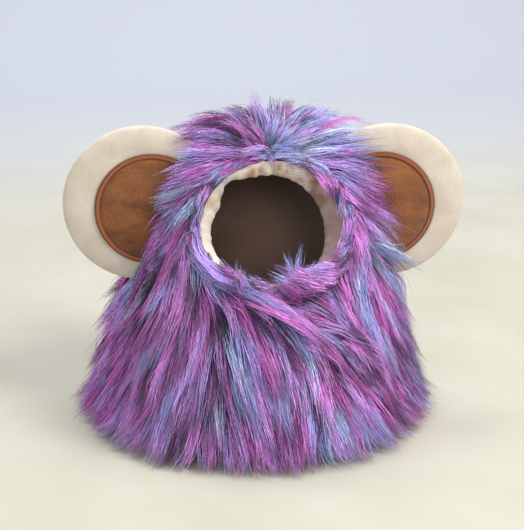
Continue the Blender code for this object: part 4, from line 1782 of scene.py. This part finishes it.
    def whorl_tuft(self, chance: random.Random) -> list[LockGuide]:
        """Short locks that stand up and fall apart at the whorl.

        Args:
            chance: The random numbers.

        Returns:
            The locks.
        """
        form, made = self.form, []
        for index in range(self.tuft_locks):
            turn, far = chance.uniform(0, 2 * math.pi), chance.uniform(1.0, 7.0) * MM
            across, up = math.cos(turn), math.sin(turn)
            start = form.whorl + Vector((across * far * 1.6, 0, 0)) + form.face_up * (up * far + 3 * MM)
            root, normal = self.comb.surface(start)
            fall = (Vector((across, 0, 0)) + form.face_up * (0.5 * up + 0.3)).normalized()
            fall = (fall - normal * fall.dot(normal)).normalized()
            sprig = index % 4 == 0
            length = (chance.uniform(20, 29) if sprig else chance.uniform(10, 19)) * MM
            rise, width = (0.55, 0.3) if sprig else (0.34, 0.7)
            line = [
                root + normal * length * rise * math.sin(2.0 * t) + fall * length * t**1.3
                for t in (i / 7 for i in range(8))
            ]
            outs = [normal.copy() for _ in line]
            made.append(LockGuide(line, outs, self.tone(root, chance), self.lock_width * width))
        return made

    def build(self, material: Material) -> list[Object]:
        """Makes the pile in pieces round the hood.

        Args:
            material: The fibres' finish.

        Returns:
            One plain mesh for each piece.
        """
        guides = self.guides()
        guides.sort(key=lambda g: g.points[0].z)
        crown = guides[-len(guides) // self.pieces:]
        rest = guides[: len(guides) - len(crown)]
        rest.sort(key=lambda g: math.atan2(g.points[0].x, -(g.points[0].y - HOME_Y)))
        share = math.ceil(len(rest) / (self.pieces - 1))
        groups = [rest[i * share: (i + 1) * share] for i in range(self.pieces - 1)] + [crown]
        names = ["back_left", "left", "front", "right", "back_right", "crown"]
        tree = FibreTree().build(material)
        made = []
        for index, (name, group) in enumerate(zip(names, groups)):
            made.append(self.piece(f"mane_{name}", group, tree, index))
        return made

    def piece(self, name: str, guides: list[LockGuide], tree: NodeTree, index: int) -> Object:
        """Grows the fibres of one piece of the pile.

        Args:
            name: The piece's name.
            guides: Its locks.
            tree: The fibres' node tree.
            index: The piece's number, for its seed.

        Returns:
            The piece as a plain mesh.
        """
        mesh = bpy.data.meshes.new(name)
        verts, edges = [], []
        for guide in guides:
            base = len(verts)
            verts += [tuple(p) for p in guide.points]
            edges += [(base + i, base + i + 1) for i in range(len(guide.points) - 1)]
        mesh.from_pydata(verts, edges, [])
        ways = {"side": [g.sides() for g in guides], "out": [g.outs for g in guides]}
        for attribute, rows in ways.items():
            mark(mesh, attribute, "FLOAT_VECTOR", [x for row in rows for v in row for x in v])
        mark(mesh, "lock_tone", "FLOAT", [g.tone for g in guides for _ in g.points])
        mark(mesh, "lock_width", "FLOAT", [g.width for g in guides for _ in g.points])
        total = len(guides) * self.fibres
        columns = math.ceil(math.sqrt(total) * self.bake_stretch)
        return grow(link(bpy.data.objects.new(name, mesh)), tree, {
            "Fibres per lock": self.fibres, "Fibre radius": self.fibre_radius, "Seed": 31 * index + 7,
            "Bake columns": float(columns), "Bake rows": float(math.ceil(total / columns)),
        })


class FibreTree:
    """The node tree that grows tapered fibres round each lock's middle line."""

    least_height = 0.5 * MM
    points = 4
    sides = 3
    lengths: Span = (0.6, 1.0)
    taper = 0.86
    taper_power = 2.2
    flatness = 0.62
    wave_scale = 55.0
    # the number of the Trim Curve node's input for the end as a share
    trim_end = 3

    def __init__(self) -> None:
        """Starts the tree and its named inputs."""
        self.tree = bpy.data.node_groups.new("mane_fibres", "GeometryNodeTree")
        face = self.tree.interface
        face.new_socket("Guides", in_out="INPUT", socket_type="NodeSocketGeometry")
        for name, kind, value in (
            ("Fibres per lock", "Int", 20), ("Fibre radius", "Float", 0.165 * MM),
            ("Clump", "Float", 0.5), ("Stray", "Float", 7.0 * MM), ("Root scatter", "Float", 2.6 * MM),
            ("Bake columns", "Float", 200.0), ("Bake rows", "Float", 30.0), ("Seed", "Int", 1),
        ):
            face.new_socket(name, in_out="INPUT", socket_type=f"NodeSocket{kind}").default_value = value
        face.new_socket("Fibres", in_out="OUTPUT", socket_type="NodeSocketGeometry")
        self.start = self.tree.nodes.new("NodeGroupInput")
        self.end = self.tree.nodes.new("NodeGroupOutput")

    def add(self, kind: str, inputs: dict | None = None, **settings: object) -> Node:
        """Adds a node, as add_node does."""
        return add_node(self.tree, kind, inputs, **settings)

    def math(self, operation: str, *values: object) -> Socket:
        """A Math node's result."""
        return self.add("ShaderNodeMath", dict(enumerate(values)), operation=operation).outputs[0]

    def product(self, first: object, second: object) -> Socket:
        """Two numbers multiplied."""
        return self.math("MULTIPLY", first, second)

    def total(self, first: object, second: object) -> Socket:
        """Two ways added."""
        return self.add("ShaderNodeVectorMath", {0: first, 1: second}, operation="ADD").outputs[0]

    def scaled(self, way: object, length: object) -> Socket:
        """A way made longer or shorter."""
        return self.add("ShaderNodeVectorMath", {0: way, "Scale": length}, operation="SCALE").outputs[0]

    def chance(self, low: float, high: float, offset: int) -> Socket:
        """A random number for each fibre, from the tree's seed and an offset."""
        seed = self.math("ADD", self.start.outputs["Seed"], float(offset))
        inputs = {"Min": low, "Max": high, "Seed": seed}
        node = self.add("FunctionNodeRandomValue", inputs, data_type="FLOAT")
        return next(o for o in node.outputs if o.enabled)

    def named(self, name: str, kind: str) -> Socket:
        """A named attribute of the guides."""
        node = self.add("GeometryNodeInputNamedAttribute", {"Name": name}, data_type=kind)
        return next(o for o in node.outputs if o.enabled)

    def capture(
        self, geometry: Socket, domain: str, fields: dict[str, Socket]
    ) -> tuple[Socket, dict[str, Socket]]:
        """Fixes fields on a geometry.

        Args:
            geometry: Where they are fixed.
            domain: The domain.
            fields: Each field by a name.

        Returns:
            The geometry and the fixed fields.
        """
        node = self.tree.nodes.new("GeometryNodeCaptureAttribute")
        node.domain = domain
        for name in fields:
            node.capture_items.new("FLOAT", name)
        for name, value in {"Geometry": geometry, **fields}.items():
            assign(self.tree, node.inputs[name], value)
        return node.outputs["Geometry"], {name: node.outputs[name] for name in fields}

    def build(self, material: Material) -> NodeTree:
        """Joins the nodes up.

        Args:
            material: The fibres' finish.

        Returns:
            The tree.
        """
        line, fibre, along = self.strands()
        tube = self.tube(line, fibre, along)
        smooth = self.add("GeometryNodeSetShadeSmooth", {"Geometry": tube})
        real = self.add("GeometryNodeRealizeInstances", {"Geometry": smooth.outputs[0]})
        painted = self.add("GeometryNodeSetMaterial", {"Geometry": real.outputs[0], "Material": material})
        self.tree.links.new(painted.outputs[0], self.end.inputs[0])
        return self.tree

    def strands(self) -> tuple[Socket, dict[str, Socket], Socket]:
        """Lays each lock's fibres as lines of their own length and place.

        Returns:
            The lines, each fibre's random numbers and the share of the way to its tip.
        """
        start = self.start
        curve = self.add("GeometryNodeMeshToCurve", {"Mesh": start.outputs["Guides"]}).outputs[0]
        amount = start.outputs["Fibres per lock"]
        many = self.add(
            "GeometryNodeDuplicateElements", {"Geometry": curve, "Amount": amount}, domain="SPLINE"
        )
        fixed, fibre = self.capture(many.outputs[0], "CURVE", {
            "angle": self.chance(0, 2 * math.pi, 0), "distance": self.chance(0, 1, 1),
            "tone": self.chance(0, 1, 2), "shift": self.chance(-1, 1, 3),
            "clump": self.chance(0.7, 1.25, 4), "serial": self.add("GeometryNodeInputIndex").outputs[0],
            "stray": self.chance(0, 1, 5),
        })
        trimmed = self.add("GeometryNodeTrimCurve", None, mode="FACTOR")
        assign(self.tree, trimmed.inputs["Curve"], fixed)
        assign(self.tree, trimmed.inputs[self.trim_end], self.chance(*self.lengths, 6))
        spaced = self.add(
            "GeometryNodeResampleCurve", {"Curve": trimmed.outputs[0], "Count": self.points}, mode="COUNT"
        )
        factor = self.add("GeometryNodeSplineParameter").outputs["Factor"]
        kept, point = self.capture(spaced.outputs[0], "POINT", {"along": factor})
        place = self.above_ground(self.offset(fibre, point["along"]))
        moved = self.add("GeometryNodeSetPosition", {"Geometry": kept, "Position": place})
        return moved.outputs[0], fibre, point["along"]

    def tube(self, line: Socket, fibre: dict[str, Socket], along: Socket) -> Socket:
        """Gives the fibres their thickness, tapered to the tip, and their marks.

        Args:
            line: The fibres' lines.
            fibre: Each fibre's random numbers.
            along: The share of the way to the tip.

        Returns:
            The fibres as a mesh.
        """
        ring = self.add(
            "GeometryNodeCurvePrimitiveCircle", {"Resolution": self.sides, "Radius": 1.0}, mode="RADIUS"
        )
        factor = self.add("GeometryNodeSplineParameter").outputs["Factor"]
        profile, about = self.capture(ring.outputs[0], "POINT", {"around": factor})
        thinned = self.product(self.math("POWER", along, self.taper_power), self.taper)
        thickness = self.product(self.start.outputs["Fibre radius"], self.math("SUBTRACT", 1.0, thinned))
        tube = self.add("GeometryNodeCurveToMesh", {
            "Curve": line, "Profile Curve": profile, "Scale": thickness, "Fill Caps": True,
        })
        stored = self.store(tube.outputs[0], "fibre_tone", "FLOAT", "POINT", fibre["tone"])
        stored = self.store(stored, "fibre_along", "FLOAT", "POINT", along)
        cell = self.cell(fibre["serial"], along, about["around"])
        return self.store(stored, "OFBake", "FLOAT2", "CORNER", cell)

    def store(self, geometry: Socket, name: str, kind: str, domain: str, value: Socket) -> Socket:
        """Stores a field under a name and returns the geometry."""
        inputs = {"Geometry": geometry, "Name": name, "Value": value}
        node = self.add("GeometryNodeStoreNamedAttribute", inputs, data_type=kind, domain=domain)
        return node.outputs[0]

    def offset(self, fibre: dict[str, Socket], along: Socket) -> Socket:
        """How far each point of a fibre lies from its lock's middle line.

        Args:
            fibre: The fibre's random numbers.
            along: The share of the way to the tip.

        Returns:
            The offset field.
        """
        start = self.start
        width = self.named("lock_width", "FLOAT")
        side, out = self.named("side", "FLOAT_VECTOR"), self.named("out", "FLOAT_VECTOR")
        clump = self.product(start.outputs["Clump"], fibre["clump"])
        close = self.math("SUBTRACT", 1.0, self.product(clump, self.math("POWER", along, 1.3)))
        spread = self.product(self.math("SQRT", fibre["distance"]), self.product(width, close))
        across = self.product(spread, self.math("COSINE", fibre["angle"]))
        deep = self.product(spread, self.math("SINE", fibre["angle"]))
        lifted = self.product(self.product(deep, self.flatness), along)
        ahead = self.add("ShaderNodeVectorMath", {0: out, 1: side}, operation="CROSS_PRODUCT").outputs[0]
        scatter = self.product(start.outputs["Root scatter"], fibre["shift"])
        wave = self.add("ShaderNodeTexNoise", {
            "Vector": self.add("GeometryNodeInputPosition").outputs[0],
            "W": self.product(fibre["tone"], 40.0), "Scale": self.wave_scale, "Detail": 1.0,
        }, noise_dimensions="4D").outputs["Color"]
        middle = {0: wave, 1: (0.5, 0.5, 0.5)}
        drift = self.add("ShaderNodeVectorMath", middle, operation="SUBTRACT").outputs[0]
        wild = self.product(self.math("POWER", fibre["stray"], 6.0), 4.0)
        amount = self.product(self.product(start.outputs["Stray"], along), self.math("ADD", 0.9, wild))
        way = self.total(self.scaled(side, across), self.scaled(out, lifted))
        way = self.total(way, self.scaled(ahead, scatter))
        return self.total(way, self.scaled(drift, amount))

    def above_ground(self, offset: Socket) -> Socket:
        """Each point's new place, kept off the ground that the hem rests on."""
        placed = self.total(self.add("GeometryNodeInputPosition").outputs[0], offset)
        split = self.add("ShaderNodeSeparateXYZ", {"Vector": placed})
        height = self.math("MAXIMUM", split.outputs["Z"], self.least_height)
        parts = {"X": split.outputs["X"], "Y": split.outputs["Y"], "Z": height}
        return self.add("ShaderNodeCombineXYZ", parts).outputs[0]

    def cell(self, serial: Socket, along: Socket, around: Socket) -> Socket:
        """Each fibre's own cell of the bake map.

        Args:
            serial: The fibre's number.
            along: The share of the way to the tip.
            around: The share of the way round it.

        Returns:
            The place in the map, as a vector field.
        """
        columns, rows = self.start.outputs["Bake columns"], self.start.outputs["Bake rows"]
        column = self.math("MODULO", serial, columns)
        row = self.math("FLOOR", self.math("DIVIDE", serial, columns))
        across = self.math("ADD", 0.12, self.product(around, 0.76))
        up = self.math("ADD", 0.04, self.product(along, 0.92))
        return self.add("ShaderNodeCombineXYZ", {
            "X": self.math("DIVIDE", self.math("ADD", column, across), columns),
            "Y": self.math("DIVIDE", self.math("ADD", row, up), rows),
        }).outputs[0]


# Camera, light and floor


@dataclass
class Studio:
    """A pale floor, soft light and the photograph's viewpoint."""

    azimuth: float = math.radians(-6)
    elevation: float = math.radians(18)
    distance: float = 0.90
    target: Vector = field(default_factory=lambda: Vector((-0.002, HOME_Y, 0.088)))
    view_width: float = 0.3144
    bend: float = 0.5
    bend_from: float = 0.9

    def camera(self) -> None:
        """Sets the camera at the photograph's angle."""
        data = bpy.data.cameras.new("camera")
        data.sensor_fit, data.sensor_width = "HORIZONTAL", 36
        data.lens = 36 * self.distance / self.view_width
        data.clip_start, data.clip_end = 0.01, 20
        obj = link(bpy.data.objects.new("camera", data))
        a, e = self.azimuth, self.elevation
        back = Vector((math.sin(a) * math.cos(e), -math.cos(a) * math.cos(e), math.sin(e)))
        obj.location = self.target + back * self.distance
        obj.rotation_euler = (-back).to_track_quat("-Z", "Y").to_euler()
        bpy.context.scene.camera = obj

    def lights(self) -> None:
        """Hangs three large soft lights and a pale sky."""
        for name, place, size, energy, colour in (
            ("key", (1.00, -0.60, 1.20), 0.7, 24.0, (1.0, 0.98, 0.96)),
            ("fill", (-0.60, -1.10, 0.75), 1.1, 6.8, (0.97, 0.98, 1.0)),
            ("top", (-0.1, 0.35, 1.35), 0.8, 15.0, (0.96, 0.98, 1.0)),
        ):
            data = bpy.data.lights.new(name, "AREA")
            data.shape, data.size, data.energy, data.color = "DISK", size, energy, colour
            obj = link(bpy.data.objects.new(name, data))
            obj.location = place
            obj.rotation_euler = (Vector((0, 0, 0.08)) - Vector(place)).to_track_quat("-Z", "Y").to_euler()
        world = bpy.data.worlds.new("sky")
        world.use_nodes = True
        sky = world.node_tree.nodes["Background"]
        sky.inputs["Color"].default_value = (0.86, 0.91, 1.0, 1.0)
        sky.inputs["Strength"].default_value = 0.55
        bpy.context.scene.world = world
        bpy.context.scene.view_settings.view_transform = "Standard"

    def floor(self) -> None:
        """Lays a pale sweep that rises far behind the hood."""
        verts, faces = [], []
        profile = [(-1.5, 0.0), (self.bend_from, 0.0)]
        for a in np.linspace(0.15, math.pi / 2, 10):
            profile.append((self.bend_from + self.bend * math.sin(a), self.bend - self.bend * math.cos(a)))
        profile.append((self.bend_from + self.bend, 2.2))
        for y, z in profile:
            verts += [(-2.5, y, z), (2.5, y, z)]
        for i in range(len(profile) - 1):
            faces.append((2 * i, 2 * i + 1, 2 * i + 3, 2 * i + 2))
        shader = Shader("pale_floor")
        place = shader.place()
        stops = ((0.3, srgb(175, 171, 155)), (0.7, srgb(183, 179, 164)))
        cream = shader.ramp(shader.grain(place, 14.0), stops)
        depth = shader.add("ShaderNodeSeparateXYZ", {"Vector": place}).outputs["Y"]
        far = shader.span(depth, (0.3, 1.0), smooth=True)
        shader.set(Base_Color=shader.mix(cream, srgb(190, 193, 200), far, blend="MIX"), Roughness=0.9)
        mesh_object("floor", verts, faces, shader.material)


def rides(piece: Object, slot: str, *nodes: str) -> Object:
    """Fixes a piece to the hood's body and hides the CAD nodes that it stands for.

    Args:
        piece: The piece.
        slot: The record's material slot; not used.
        nodes: The nodes.

    Returns:
        The piece.
    """
    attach(piece, "root")
    if nodes:
        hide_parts(*nodes)
    log.info("%s: %d faces", piece.name, len(piece.data.polygons))
    return piece


def main() -> None:
    """Builds the hood's pieces in order, then the studio."""
    logging.basicConfig(level=logging.INFO, format="%(message)s")
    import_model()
    finishes = Finishes()
    form = HoodForm()
    ears = (Ear(form, Side.LEFT, 0.1290), Ear(form, Side.RIGHT, 0.1270))

    cloth = HoodCloth(form, "fur_ground", Lay.FUR_CLOTH, 2.0 * MM, 0.3 * MM).build(finishes.fur_cloth)
    rides(cloth, "long_pile_fur", "fur_hood")
    lining = HoodCloth(form, "lining_shell", Lay.LINING, 1.0 * MM, 2.2 * MM).build(finishes.lining)
    rides(lining, "lining_cloth", "lining")
    casing = rides(FaceCasing(form).build(finishes.twill), "twill_casing", "face_casing")
    closure = rides(NeckClosure(form).build(finishes.tape), "closure_tape", "neck_closure")
    for ear in ears:
        pad = rides(ear.pad(finishes.plush), "cream_plush", f"ear_{ear.label}")
        rides(ear.patch(finishes.velour), "brown_velour", f"ear_{ear.label}_patch")
        rides(ear.trim(finishes.stitch), "brown_stitching", f"ear_{ear.label}_trim")
    mane = Mane(form, Combing(form, ears)).build(finishes.pile)
    for piece in mane:
        rides(piece, "long_pile_fur", "fur_hood")

    studio = Studio()
    studio.camera()
    studio.lights()
    studio.floor()


if __name__ == "__main__":
    main()
